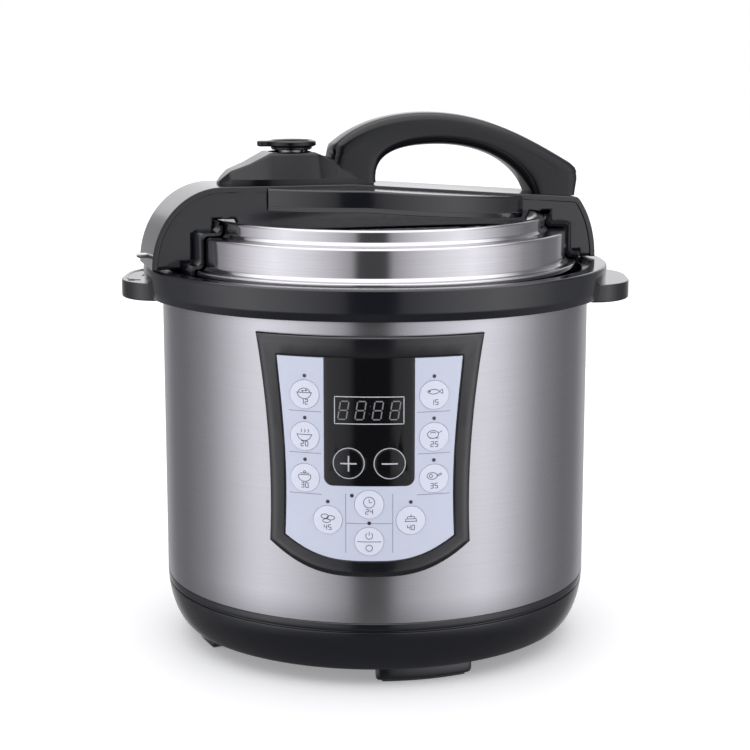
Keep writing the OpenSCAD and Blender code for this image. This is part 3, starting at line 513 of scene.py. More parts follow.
finish = {
    "gloss": surface("blackGloss", (0.0052, 0.0058, 0.0098), 0.13, coat=0.3, tone=0.06, smudge=0.03,
        wear=0.25, bump=0.012, ior=1.6),
    "satin": surface("blackSatin", (0.0038, 0.0042, 0.0068), 0.17, coat=0.15, smudge=0.03, wear=0.25,
        grain=coarse, ior=1.45),
    "bezel": surface("bezelBlack", (0.004, 0.0044, 0.0072), 0.12, coat=0.3, smudge=0.03, wear=0.25,
        bump=0.012, ior=1.7),
    "window": surface("windowBlack", (0.002, 0.0021, 0.003), 0.06, coat=0.3, tone=0.03, smudge=0.02,
        wear=0.05, bump=0.003),
    "membrane": surface("membraneSilver", (0.6, 0.635, 0.765), 0.42, metal=0.1, tone=0.02, toneScale=900.0,
        smudge=0.05, wear=0.1, grain={"Scale": 3600.0, "Depth": 1.0}, bump=0.03),
    "film": surface("keyFilm", (0.68, 0.71, 0.83), 0.28, coat=0.3, tone=0.015, wear=0.1),
    "ink": surface("printInk", (0.03, 0.032, 0.05), 0.5, tone=0.1, wear=0.0),
    "rule": surface("printRule", (0.2, 0.21, 0.27), 0.5, tone=0.05, wear=0.0),
    "lightInk": surface("printLight", (0.5, 0.51, 0.55), 0.45, tone=0.05, wear=0.0),
    "digits": surface("unlitDigits", (0.2, 0.2, 0.215), 0.4, tone=0.15, toneScale=60.0, wear=0.0),
    "steel": surface("brushedSteel", (0.6, 0.59, 0.625), 0.27, metal=1.0, tone=0.03, toneScale=8.0,
        smudge=0.03, wear=0.2, brushed={"Lines": 2400.0, "Run": 3.0, "Depth": 1.0}, streaks=0.045,
        bump=0.008, anisotropy=0.75, wearColour=(0.75, 0.74, 0.77)),
    "lid": surface("turnedSteel", (0.66, 0.645, 0.675), 0.13, metal=1.0, tone=0.03, toneScale=8.0,
        smudge=0.03, wear=0.2, brushed={"Lines": 1500.0, "Run": 2.0, "Depth": 1.0}, streaks=0.05,
        bump=0.006, anisotropy=0.5, wearColour=(0.8, 0.79, 0.82)),
    "plainSteel": surface("plainSteel", (0.58, 0.58, 0.6), 0.25, metal=1.0, wear=0.3, bump=0.04,
        wearColour=(0.75, 0.75, 0.77)),
    "pressed": surface("pressedAluminium", (0.6, 0.61, 0.63), 0.34, metal=1.0, wear=0.3, tone=0.06,
        brushed={"Lines": 1800.0, "Run": 3.0, "Depth": 1.0}, streaks=0.05, bump=0.03, wearColour=(0.75,
        0.75, 0.77)),
    "cast": surface("castAluminium", (0.5, 0.5, 0.52), 0.48, metal=1.0, wear=0.3, tone=0.12, grain=coarse,
        bump=0.25, wearColour=(0.7, 0.7, 0.72)),
    "darkSteel": surface("heaterSteel", (0.14, 0.13, 0.125), 0.42, metal=1.0, wear=0.4, tone=0.25,
        grain=coarse, bump=0.12),
    "zinc": surface("zincPlate", (0.58, 0.59, 0.6), 0.3, metal=1.0, tone=0.1, bump=0.05, wearColour=(0.8,
        0.79, 0.74)),
    "silicone": surface("paleSilicone", (0.72, 0.72, 0.68), 0.5, tone=0.05, wear=0.1, bump=0.04,
        sheen=0.2),
    "rubber": surface("blackRubber", (0.022, 0.022, 0.023), 0.7, tone=0.15, wear=0.4, grain=coarse,
        bump=0.2, sheen=0.15),
    "red": surface("redSilicone", (0.5, 0.03, 0.02), 0.45, tone=0.06, wear=0.1, bump=0.04),
    "board": surface("circuitBoard", (0.02, 0.13, 0.045), 0.35, tone=0.3, toneScale=300.0, wear=0.3,
        wearColour=(0.45, 0.32, 0.08), grain=coarse, bump=0.05),
    "component": surface("componentGrey", (0.035, 0.035, 0.04), 0.45, tone=0.2, wear=0.3, grain=coarse,
        bump=0.1),
    "ceramic": surface("ceramicWhite", (0.72, 0.71, 0.67), 0.4, tone=0.05, wear=0.2, grain=coarse,
        bump=0.05),
    "smoke": surface("smokePlastic", (0.3, 0.33, 0.37), 0.16, tone=0.03, wear=0.2, bump=0.01, through=0.82,
        coat=0.2),
    "lamp": surface("lampLens", (0.045, 0.03, 0.05), 0.2, tone=0.05, wear=0.0, bump=0.01, coat=0.4),
}
gloss, satin = finish["gloss"], finish["satin"]
print("materials ready")


def place(piece, body, key, *nodes):
    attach(piece, body)
    if nodes:
        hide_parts(*nodes)
    return piece


def softened(name, node, body, key, width):  # a CAD shape with its sharp edges rounded
    source = frame["nodes"][node]
    piece = tidy(paint(addObject(name, source.data.copy()), finish[key]), merge=2e-6)
    with editing(piece.data) as work:
        bmesh.ops.dissolve_limit(work, angle_limit=math.radians(0.5), verts=work.verts, edges=work.edges)
    applied(piece, "BEVEL", width=width * mm, segments=3, limit_method="ANGLE", angle_limit=math.radians(40))
    return place(smooth(piece, 35), body, key, node)


def arc(section, turn):  # a section of (radius, height) points stood at an angle round the Z axis
    return [(r * math.cos(turn), r * math.sin(turn), z) for r, z in section]


bowl = {"rimR": 125, "wall": 2.5, "grooveDrop": 6, "grooveHigh": 1.3, "grooveDeep": 0.9, "lipR": 98}
foot = {"inner": 106, "outer": 118, "span": 30, "turn": 16.5 - 90, "round": 2.6, "count": 4}
inlet = {"wide": 36, "face": 129, "deep": 18, "corner": 4, "round": 2.2, "holeWide": 28,
         "holeHigh": 21, "holeDeep": 44}


def makeBase():
    outside = bezier((bowl["rimR"], baseLow), (bowl["rimR"] + 5, baseLow + 4.5),
                     (shellR - 0.2, shellZ - 14.5), (shellR, shellZ - 0.6), 26)
    groove = shellZ - bowl["grooveDrop"]
    profile = [(bowl["lipR"], baseLow, 1.0), (bowl["rimR"] - 1.5, baseLow, 1.2)]
    for r, z in outside[1:]:
        if groove - 0.2 < z < groove + bowl["grooveHigh"] + 0.2:
            continue
        if z > groove and profile[-1][1] < groove:
            for step, deep in ((-0.1, 0), (0.35, 1), (bowl["grooveHigh"] - 0.35, 1),
                               (bowl["grooveHigh"] + 0.1, 0)):
                profile.append((shellR - 0.35 - deep * bowl["grooveDeep"], groove + step, 0.3))
        profile.append((r, z, 0))
    wall = bowl["wall"]
    profile += [(shellR - 0.4, shellZ, 0.2), (shellR - wall, shellZ, 0.4)]
    for r, z in reversed(outside[3:-2]):
        profile.append((r - wall, max(z, baseLow + wall), 0))
    profile.append((bowl["lipR"], baseLow + wall, 0.8))
    body = spin("baseBowl", rounded(profile, 3), gloss, 256)
    centreZ = (box("mains_inlet")[0].z + box("mains_inlet")[1].z) / 2
    high, deep = (shellZ - 1 - baseLow) / 2, inlet["deep"]
    block = plate("inletBlock", [rectangle(inlet["wide"] / 2, high, inlet["corner"])], deep, inlet["round"],
                  gloss)
    cut(body, moved(upright(block), 0, inlet["face"] - deep / 2, baseLow + high), "UNION")
    hole = plate("inletHole", [rectangle(inlet["holeWide"] / 2, inlet["holeHigh"] / 2, 0.4)],
                 inlet["holeDeep"], 0.01, gloss)
    cut(body, moved(upright(hole), 0, inlet["face"] - 8, centreZ))
    place(evenShading(tidy(paint(body, gloss))), "cooker", "gloss", "base_shell")


def makeFeet():
    half = foot["span"] / 2
    middle = (foot["inner"] + foot["outer"]) / 2
    long = math.radians(half) * middle
    rings = []
    for t in [-1, -0.985, -0.95, -0.9] + [i / 8 for i in range(-6, 7)] + [0.9, 0.95, 0.985, 1]:
        past = max(0, (abs(t) * long - long + foot["round"]) / foot["round"])
        pinch = foot["round"] * (1 - math.sqrt(max(0, 1 - past**2)))
        low, high = 1.2 + pinch * 0.9, baseLow + 0.4
        a, b = foot["inner"] + pinch * 0.6, foot["outer"] - pinch * 0.6
        section = rounded([(a, low, 1.8), (b, low, 1.8), (b, high, 0.3), (a, high, 0.3)], 3)
        rings.append(arc(section, math.radians(t * half)))
    one = loft("foot", rings, gloss)
    feet = ring(one, foot["count"], foot["turn"], gloss, "feetRing")
    place(feet, "cooker", "gloss", "feet")


makeBase()
makeFeet()
print("base and feet made")


shellSheet = {"wall": 0.8, "hem": 0.35}
collar = {"proud": 5, "foot": 2.6, "stretch": 7, "mouth": flangeR + 3.5, "tray": 2, "innerR": 114.8}
lug = {"wide": 86, "corner": 33, "back": 3, "thick": 11, "round": 0.9, "floor": 2.6, "rim": 3}


def makeShell():
    wall, hem = shellSheet["wall"], shellSheet["hem"]
    low, high = shellZ + 0.05, collarZ - 0.05
    profile = rounded([(shellR - wall, low, hem), (shellR, low, hem), (shellR, high, hem),
                       (shellR - wall, high, hem)], 3)
    tall = [(shellR, low + (high - low) * i / 12) for i in range(1, 12)]
    half = len(profile) // 2
    profile = profile[:half] + tall + profile[half:]
    place(spin("steelShell", profile, finish["steel"], 256), "cooker", "steel", "outer_shell")


def makeCollar():
    top, tray = mouthZ, collarZ + collar["tray"]
    outer = shellR + collar["proud"]
    profile = [(shellR + collar["foot"], collarZ, 0.9), (shellR + collar["foot"] + 1.4, collarZ + 5, 6),
               (outer - 0.2, top - 5, 8), (outer, top, 1.9), (collar["mouth"] + 2.4, top, 1.4),
               (collar["mouth"], top - 2.5, 1.4), (collar["mouth"], tray, 1.5),
               (collar["innerR"], tray, 0.5), (collar["innerR"], collarZ, 0.4)]
    flat = rounded(profile, 5)
    rings = []
    steps = 288
    for i in range(steps):
        turn = 2 * math.pi * i / steps
        section = []
        for r, z in flat:
            pull = max(0, min(1, (r - collar["mouth"]) / 4))  # the rim's inner edge stays round
            side = collar["stretch"] * pull * math.tanh(3 * math.cos(turn))
            section.append((r * math.cos(turn) + side, r * math.sin(turn), z))
        rings.append(section)
    body = loft("collarRing", rings, gloss, loop=True)
    for side in (1, -1):
        near, tip, half = shellR - 1, lugTip - lug["back"], lug["wide"] / 2
        bend = tip - near - 2
        outline = [(near, -half)] + oval(tip - bend, -half + lug["corner"], bend, lug["corner"], -90, 0, 16) \
            + oval(tip - bend, half - lug["corner"], bend, lug["corner"], 0, 90, 16) + [(near, half)]
        outline = [(x * side, y) for x, y in outline]
        ear = lugPlate(outline, lug["thick"], lug["round"], collarLow.z + lug["thick"] / 2)
        body = cut(body, ear, "UNION")
        inset, start = lug["rim"], near + 14.5
        outline = rounded([(start, -half + inset + 9, 2), (tip - inset, -half + inset + 22, 9),
                           (tip - inset, half - inset - 22, 9), (start, half - inset - 9, 2)], 6)
        outline = [(x * side, y) for x, y in outline]
        body = cut(body, lugPlate(outline, 10, 0.6, collarLow.z + lug["thick"] - lug["floor"] - 5))
    place(evenShading(tidy(paint(body, gloss))), "cooker", "gloss", "collar")


def lugPlate(outline, thick, edge, z):
    return moved(plate("lug", [outline], thick, edge, gloss, 4), z=z)


def makeLugMarks():  # moulded marks on the left lug: open and closed padlock dots joined by an arrow
    top = collarLow.z + lug["thick"] + 0.05
    x = -(lugTip + shellR + 8) / 2
    lines = [oval(x, 0, 4.5, 22, 110, 250, 14), [(x - 1.2, 17), (x - 1.6, 21), (x + 2.2, 20.4)],
             oval(x + 1, 26, 2.1, 2.1), oval(x + 1, -25, 2.1, 2.1), [(x + 3.5, -25), (x + 6.5, -25)],
             [(x + 4.2, 2), (x + 7.4, 2)], [(x + 4.2, -4), (x + 7.4, -4)], [(x + 4.2, 8), (x + 7.4, 8)]]
    place(moved(strokes("lugMarks", lines, 0.45, gloss, 0.7), z=top), "cooker", "gloss")


makeShell()
makeCollar()
makeLugMarks()
print("shell and collar made")


lid = {"wall": 1.5, "skirt": 126, "band": 120.5, "crown": 107.5, "dish": 97.5, "bandHigh": 19.5,
       "dishDeep": 9, "flangeZ": lidTop - 28.5}
claw = {"inner": 118.3, "span": 13.5, "thick": 2.5, "count": 10}


def lidOutside(g=0.0):  # corners of the lid's outside grown by g, from the skirt to the dish
    flange, step = lid["flangeZ"], lid["flangeZ"] + lid["bandHigh"]
    skirt, band, crown = (lid[part] + g for part in ("skirt", "band", "crown"))
    return [(skirt, skirtZ - g, 0.3), (skirt, flange - 4.5, 1), (flangeR + g, flange - 3, 0.8),
            (flangeR + g, flange + g, 1.1), (band + 2.4, flange + g + 0.1, 1.5),
            (band, flange + g + 2.2, 1.5), (band, step + g, 2.2), (crown + 2.2, step + g, 1.2),
            (crown, step + g + 2, 1.2), (crown, lidTop + g, 2.0)]


def makeLid():
    wall, flange, step = lid["wall"], lid["flangeZ"], lid["flangeZ"] + lid["bandHigh"]
    dishZ = lidTop - lid["dishDeep"]
    skirt, band, crown = (lid[part] - wall for part in ("skirt", "band", "crown"))
    inner = [(0, dishZ - wall, 0), (lid["dish"] - 1, dishZ - wall, 2),
             (lid["crown"] - 5, lidTop - wall - 0.8, 0.8), (crown, lidTop - wall - 0.8, 1),
             (crown, step - wall, 1), (band, step - wall, 1.5), (band, flange - wall, 1),
             (skirt, flange - wall, 1.5), (skirt, skirtZ, 0.3)]
    outer = lidOutside() + [(lid["crown"] - 4.6, lidTop, 1.6), (lid["dish"] + 1.5, dishZ + 1.6, 2.4),
                            (lid["dish"] - 3, dishZ, 2), (0, dishZ, 0)]
    path = rounded(outer, 6)[:-1] + [(40, dishZ + 0.15), (0, dishZ + 0.15)]
    under = rounded(inner, 3)
    body = spin("lidShell", [(0, dishZ - wall)] + under[1:] + path, finish["lid"], 256, loop=False)
    half, clawTop = math.radians(claw["span"] / 2), skirtZ + claw["thick"]
    section = rounded([(claw["inner"], skirtZ, 0.5), (skirt + 0.5, skirtZ, 0.2), (skirt + 0.5, clawTop, 0.2),
                       (claw["inner"], clawTop, 0.5)], 2)
    rings = [arc(section, half * (i / 4 - 1)) for i in range(9)]
    claws = ring(loft("claw", rings, finish["lid"]), claw["count"], 0, finish["lid"], "claws")
    place(onLid(smooth(joined([body, claws], "lidShell"), 38)), "lid", "lid", "lid_shell")


makeLid()
print("lid made")


bridge = {"wide": 52, "leftEnd": 146.6, "leftBend": 43.5, "rightEnd": 139.5, "rightBend": 33,
          "slopeU": -20, "rightU": 133, "fall": 11.5, "round": 2.2, "strapIn": 3.6, "strapProud": 0.7,
          "wall": 3, "clear": 0.8, "lipSpan": 16.6, "lipThick": 3.9, "dishGap": 1.2, "wellDeep": 12}
bulge = {"radius": 124, "out": 60, "centre": 7, "half": 82, "deep": 15, "sunk": 1.4, "chamfer": 3.2}
valveU = -54.0
wells = ((valveU, 0, 10), (-14.0, 19.0, 3.5))  # along, across and radius: the valve's and the float's


def deck(u):
    return deckZ - bridge["fall"] * max(0, u - bridge["slopeU"]) / (bridge["rightU"] - bridge["slopeU"])


def armOutline(end, bend, inset):  # one arm from its foot up to the deck
    rise = deckZ - bridgeZ - inset
    turns = [math.pi / 2 * i / 24 for i in range(25)]
    return [(end - bend + (bend - inset) * math.cos(t), bridgeZ + rise * math.sin(t)) for t in turns]


def bridgeOutline(inset, low):  # side of the bridge from the right end over the deck to the left end
    right = armOutline(bridge["rightEnd"], bridge["rightBend"], inset)
    left = [(-u, z) for u, z in armOutline(bridge["leftEnd"], bridge["leftBend"], inset)]
    right = [(u, min(z, deck(u) - inset)) for u, z in right]
    return [(bridge["rightEnd"] - inset, low)] + right[1:] + [(bridge["slopeU"], deckZ - inset)] \
        + left[:0:-1] + [(-bridge["leftEnd"] + inset, low)]


def makeLip(turn):  # thin rim of an arm that hugs the steps of the lid
    near, far = (rounded(lidOutside(bridge[reach]), 4)[4:] for reach in ("clear", "lipThick"))
    half = math.radians(bridge["lipSpan"])
    rings = []
    for i in range(25):
        share = i / 12 - 1
        thin = 0.55 if abs(share) == 1 else 1  # rounded ends
        section = near + [(a + (b - a) * thin, y + (z - y) * thin) for (b, z), (a, y) in
                          zip(far[::-1], near[::-1])]
        angle = turn + half * (share * 0.985 if abs(share) < 1 else share)
        rings.append(arc(section, angle))
    return loft("lip", rings, gloss)


def underSteps(side):  # inside of an arm, one step for each step of the lid
    g, flange = bridge["clear"], lid["flangeZ"]
    step = flange + lid["bandHigh"]
    return [(side * u, z) for u, z in (
        (flangeR + g, bridgeZ), (flangeR + g, flange + 3.5), (lid["band"] + g, flange + 3.5),
        (lid["band"] + g, step + g), (lid["crown"] + g, step + g), (lid["crown"] + g, lidTop + g),
        (lid["dish"] - 2, lidTop + g), (lid["dish"] - 6, lidTop - lid["dishDeep"] + bridge["dishGap"]))]


def makeBridge():
    wide = bridge["wide"]
    outline = bridgeOutline(0, bridgeZ) + underSteps(-1) + underSteps(1)[::-1]
    body = upright(plate("bridgeBody", [outline], wide, bridge["round"], gloss, 3))
    band = bridgeOutline(-0.01, bridgeZ + 0.01) + bridgeOutline(bridge["strapIn"], bridgeZ + 0.01)[::-1]
    strap = upright(plate("strap", [band], wide + 2 * bridge["strapProud"], 0.6, gloss, 2))
    front, inside = [], bridge["wall"] - wide / 2 - 0.5
    half, centre = bulge["half"], bulge["centre"]
    radius, out = bulge["radius"], bulge["out"]
    for i in range(41):
        u = centre - half + 2 * half * i / 40
        front.append((u, radius - out - math.sqrt(radius**2 - (u - centre) ** 2)))
    rings = []
    for u, v in front:
        top, low = deck(u) - bulge["sunk"], deck(u) - bulge["deep"]
        section = rounded([(v, top, 1.6), (inside, top, 0), (inside, low, 0),
                           (v + bulge["chamfer"] * 0.55, low, 0.9), (v, low + bulge["chamfer"], 0.6)], 4)
        rings.append([(u, b, z) for b, z in section])
    brow = loft("bulge", rings, gloss)
    for u, v, r in wells:
        for part in (body, strap):
            low, top = lidTop - bridge["wellDeep"], deckZ + 3
            well = spin("well", [(0, low), (r, low), (r, top), (0, top)], gloss, 48, loop=False)
            cut(part, moved(well, u, v))
    parts = [tidy(paint(part, gloss)) for part in (body, strap)]
    body = joined(parts + [brow, makeLip(0), makeLip(math.pi)], "bridge")
    place(evenShading(onLid(body)), "lid", "gloss", "bridge")


makeBridge()
print("bridge made")


grip = {"leftU": -30, "rightU": 133, "topU": 32, "innerU": 102, "wide": 25, "footWide": 29, "power": 3.0,
        "coverThick": 9, "gap": 0.35}
shroud = {"topR": 16, "tip": -101, "recess": 14.6, "recessLow": 8}


def gripBack(drop=0.0):
    left, right, top = grip["leftU"], grip["rightU"], grip["topU"]
    first = bezier((left + 1, crownZ - 20 - drop), (left + 16, crownZ - 6 - drop), (top - 24, crownZ - drop),
                   (top, crownZ - drop), 16)
    second = bezier((top, crownZ - drop), (top + 38, crownZ - drop), (right - 33, crownZ - 16 - drop),
                    (right - 4, crownZ - 33.5 - drop), 20)
    return first + second[1:]


def gripRings(inset):  # sections along the grip, from the left foot to the right foot
    left, right, top, inner = grip["leftU"], grip["rightU"], grip["topU"], grip["innerU"]
    outerPath = [(left - 2, deck(left)), (left - 1, crownZ - 30)] + gripBack() \
        + [(right, crownZ - 37.5), (right, crownZ - 44), (right - 2, deck(right - 2))]
    under = crownZ - 20.5
    innerPath = bezier((left + 28, deckZ - 0.2), (left + 27, crownZ - 27), (top - 22, under),
                       (top + 6, under), 18)
    innerPath += bezier((top + 6, under), (top + 36, under), (inner - 9, crownZ - 32),
                        (inner, deck(inner)), 18)[1:]
    rings = []
    stations = 84
    for k, (a, b) in enumerate(zip(evenly(outerPath, stations), evenly(innerPath, stations))):
        ends = abs(2 * k / (stations - 1) - 1) ** 3
        wide = (grip["wide"] + (grip["footWide"] - grip["wide"]) * ends) / 2 - inset
        power = 2 / (grip["power"] + 3 * ends)
        centre, half = (Vector(a) + Vector(b)) / 2, (Vector(a) - Vector(b)) / 2
        half *= 1 - inset / half.length
        section = []
        for i in range(40):
            c, s = math.cos(2 * math.pi * i / 40), math.sin(2 * math.pi * i / 40)
            point = centre + half * math.copysign(abs(s) ** power, s)
            section.append((point.x, math.copysign(abs(c) ** power, c) * wide, point.y))
        rings.append(section)
    return rings


def makeHandle():
    cover = cut(loft("handleCover", gripRings(0), gloss), seamBand("coverBand", 0, 0), "INTERSECT")
    base = cut(loft("handleBase", gripRings(0), satin), seamBand("gapBand", grip["gap"], 0.4))
    base = cut(base, makeShroud(), "UNION")
    core = loft("core", gripRings(0.5), satin)
    base = joined([tidy(paint(base, satin)), core], "handleBase")
    for piece, node in ((cover, "handle_cover"), (base, "handle_base")):
        place(evenShading(onLid(tidy(paint(piece, satin), 38))), "lid", "satin", node)


def seamBand(name, grow, out):  # slab that holds the cover: all that lies above the seam
    left, right = grip["leftU"], grip["rightU"]
    thick = grip["coverThick"] + grow
    seam = gripBack(thick)
    outline = [(left + 0.4 - out, crownZ + 20), (left + 0.4 - out, seam[0][1] + 1)] + seam[1:-3] \
        + [(right - 15, crownZ - 37.6 - grow), (right + 8, crownZ - 41.8 - grow), (right + 8, crownZ + 20)]
    return upright(plate(name, [outline], 2 * grip["footWide"], 0.01, satin, 1))


def makeShroud():  # hood round the valve, running into the handle's left foot
    tipU, top = shroud["tip"], shroud["topR"]
    # u, half width at the foot, half width at the top, height over the deck
    sections = [(tipU, 4, 2.5, 1.6), (tipU + 2.5, 9, 6, 4.4), (tipU + 7, 14, 9, 8.4),
                (tipU + 18, 19.5, 12, 12.6), (valveU - top, 22.5, 15, 19.2), (valveU, 23, 16, 19.6),
                (valveU + 12, 22, 15.5, 19.4), (valveU + top + 1, 20, 13, 17.4),
                (valveU + 26, 17, 11.5, 14.6), (valveU + 38, 14.5, 10, 12.5), (valveU + 50, 12.5, 8.5, 8)]
    rings = []
    for u, foot, head, high in sections:
        z, soft = deck(u), min(3.2, high * 0.3)
        side = z + min(3.4, high * 0.4)
        flat = rounded([(-foot, z - 1.5, 0.01), (foot, z - 1.5, 0.01), (foot, side, 1.6),
                        (head, z + high, soft), (-head, z + high, soft), (-foot, side, 1.6)], 4)
        rings.append([(u, v, z) for v, z in flat])
    smooth = []
    for a, b in zip(rings, rings[1:]):
        smooth += [a, [tuple((p + q) / 2 for p, q in zip(m, n)) for m, n in zip(a, b)]]
    hood = loft("hood", smooth + [rings[-1]], satin)
    recess, low = shroud["recess"], deckZ + shroud["recessLow"]
    well = spin("well", [(0, deckZ - 6), (9.5, deckZ - 6), (9.5, low), (recess, low), (recess, deckZ + 40),
                         (0, deckZ + 40)], satin, 96, loop=False)
    return cut(hood, moved(well, valveU))


makeHandle()
print("handle made")


knob = {"r": 15.4, "thick": 4, "neckR": 12.2, "weightR": 8.3, "ribs": 30, "ribR": 0.55, "lever": 6.2,
        "leverWide": 8.4}


def makeKnob():
    top, neckLow = knobHigh.z, knobLow.z
    low = top - knob["thick"]
    r, neck, weightR = knob["r"], knob["neckR"], knob["weightR"]
    profile = rounded([(weightR, neckLow, 0.4), (neck, neckLow, 0.5), (neck, low, 0.6), (r - 1.2, low, 0.4),
                       (r, low + 0.8, 0.6), (r, top - 0.9, 0.8), (r - 2.2, top, 0.9), (r - 4, top - 0.5, 0.6),
                       (5, top - 0.5, 0.6), (4, top - 1.3, 0.5), (1.2, top - 1.3, 0.4)], 4)
    profile = [(0, low + 0.3), (weightR - 0.3, low + 0.3)] + profile + [(0, top - 1.1)]
    body = spin("knobBody", profile, satin, 96, loop=False)
    ridge = [(neck - 0.1, -knob["ribR"]), (neck + 0.55, 0), (neck - 0.1, knob["ribR"])]
    rib = loft("rib", [[(x, y, z) for x, y in ridge] for z in (neckLow + 0.6, low + 0.3)], satin)
    ribs = ring(rib, knob["ribs"], 0, satin, "ribs")
    half, tip = knob["leverWide"] / 2, -r - knob["lever"]
    outline = rounded([(-r + 3, -half - 1.5, 1), (-r - 1, -half, 2), (tip, -half, 2.6), (tip, half, 2.6),
                       (-r - 1, half, 2), (-r + 3, half + 1.5, 1)], 5)
    lever = plate("lever", [outline], knob["thick"] - 0.6, 0.9, satin)
    moved(lever, z=low + knob["thick"] / 2 - 0.1)
    bar = plate("thumb", [rounded([(-r + 3, -1.1, 1), (r - 4.6, -1.1, 1), (r - 4.6, 1.1, 1),
                                   (-r + 3, 1.1, 1)])], 1.1, 0.4, satin)
    body = smooth(joined([body, ribs, lever, moved(bar, z=top - 0.45)], "valveKnob"), 35)
    place(onLid(moved(body, valveU)), "knob", "satin", "valve_knob")


makeKnob()
print("knob made")


panel = {"topHalf": 66.5, "waistHalf": 59, "top": 171, "waist": 47.6, "low": 29}
field = {"topHalf": 53.6, "waistHalf": 49.3, "top": 158.4, "waist": 52.6, "low": 38.8}
# the bezel's section as inset and height over the shell, from its outer outline and from the field's
bezelOut = [(0.0, 0.1), (0.0, 1.5), (0.25, 2.2), (0.9, 2.85), (2.1, 3.35), (3.8, 3.6), (5.2, 3.5)]
bezelIn = [(-1.3, 2.6), (-0.7, 2.45), (-0.3, 2.15), (-0.2, 1.2), (3.0, 1.2), (3.0, 0.1)]
window = {"half": 26.1, "low": 83.6, "round": 5}
keyR = 8.4
film = {"thick": 1.2, "sunk": 0.6, "keyGap": 0.16}
adjustX, adjustZ = 11.8, 97.0
keyPlaces = {f"key_{side}_{level}": (x, z) for side, x in (("left", -37.2), ("right", 37.2))
             for level, z in (("top", 136.5), ("mid", 111.9), ("low", 87.3))}
keyPlaces.update({"key_inner_left": (-24.0, 63.0), "key_inner_right": (24.0, 63.0), "key_timer": (0, 72.8),
                  "key_cancel": (0, 50.7), "key_plus": (-adjustX, adjustZ), "key_minus": (adjustX, adjustZ)})
darkKeys = ("key_plus", "key_minus")  # they lie in the display window


def shieldOutline(shape, inset=0.0):  # waisted sides, straight top and a drooping foot
    top, waist, foot = shape["top"] - inset, shape["waist"], shape["low"] + inset
    a, b = shape["topHalf"] - inset, shape["waistHalf"] - inset
    bend = waist + inset * 0.5
    side = bezier((a, top), (b + (a - b) * 0.12, top - 40), (b - 2.2, waist + 42), (b, bend), 22)
    under = bezier((b, bend), (b * 0.62, foot), (b * 0.35, foot), (0, foot), 16)
    right = side + under[1:]
    across = [(-a + 2 * a * i / 8, top) for i in range(1, 8)]
    return right + [(-x, z) for x, z in reversed(right[:-1])] + across


def makeBezel():
    rings = [[(x, z, out) for x, z in shieldOutline(shape, inset)]
             for shape, steps in ((panel, bezelOut), (field, bezelIn)) for inset, out in steps]
    bezel = moved(loft("panelBezel", rings, finish["bezel"], loop=True), z=shellR - skinR)
    place(bent(bezel, 5), "cooker", "bezel", "panel_bezel")


def keyHole(name):
    x, z = keyPlaces[name]
    r, turns = keyR + film["keyGap"], [2 * math.pi * i / 40 for i in range(40)]
    return [(x + r * math.cos(t), z + r * math.sin(t)) for t in turns]


def makeMembrane():
    outline = shieldOutline(field, 0.1)
    half, low, r, top = window["half"] + 0.12, window["low"] - 0.12, window["round"], field["top"] + 3
    opening = rounded([(half, low, r), (half, top, 0), (-half, top, 0), (-half, low, r)], 8)
    holes = [keyHole(name) for name in keyPlaces if name not in darkKeys]
    sheet = plate("membraneFilm", [outline] + holes, film["thick"], 0.12, finish["membrane"], 2)
    cut(sheet, plate("opening", [opening], 6, 0.01, finish["membrane"], 1))
    sheet = bent(paint(sheet, finish["membrane"]), 4, skinR - film["sunk"])
    place(sheet, "cooker", "membrane", "panel_membrane")


def makeWindow():
    half, low, r = window["half"], window["low"], window["round"]
    top = field["top"] + 0.1
    outline = rounded([(half, low, r), (half, top, 0.4), (-half, top, 0.4), (-half, low, r)], 8)
    holes = [keyHole(name) for name in darkKeys]
    glass = plate("displayWindow", [outline] + holes, film["thick"], 0.15, finish["window"], 2)
    place(bent(glass, 4, skinR - film["sunk"]), "cooker", "window", "display_window")


# strokes of the numerals, as a unit box 1 wide and 2 high
bars = {"a": [(0, 2), (1, 2)], "b": [(1, 2), (1, 1)], "c": [(1, 1), (1, 0)], "d": [(0, 0), (1, 0)],
        "e": [(0, 0), (0, 1)], "f": [(0, 1), (0, 2)], "g": [(0, 1), (1, 1)]}
lit = {"0": "abcdef", "1": "bc", "2": "abged", "3": "abgcd", "4": "fgbc", "5": "afgcd"}


def numeral(text, x, y, wide, step, height):
    lines = []
    for i, digit in enumerate(text):
        start = x + (i - (len(text) - 1) / 2) * step - wide / 2
        for bar in lit[digit]:
            lines.append([(start + p * wide, y + q * height / 2) for p, q in bars[bar]])
    return lines


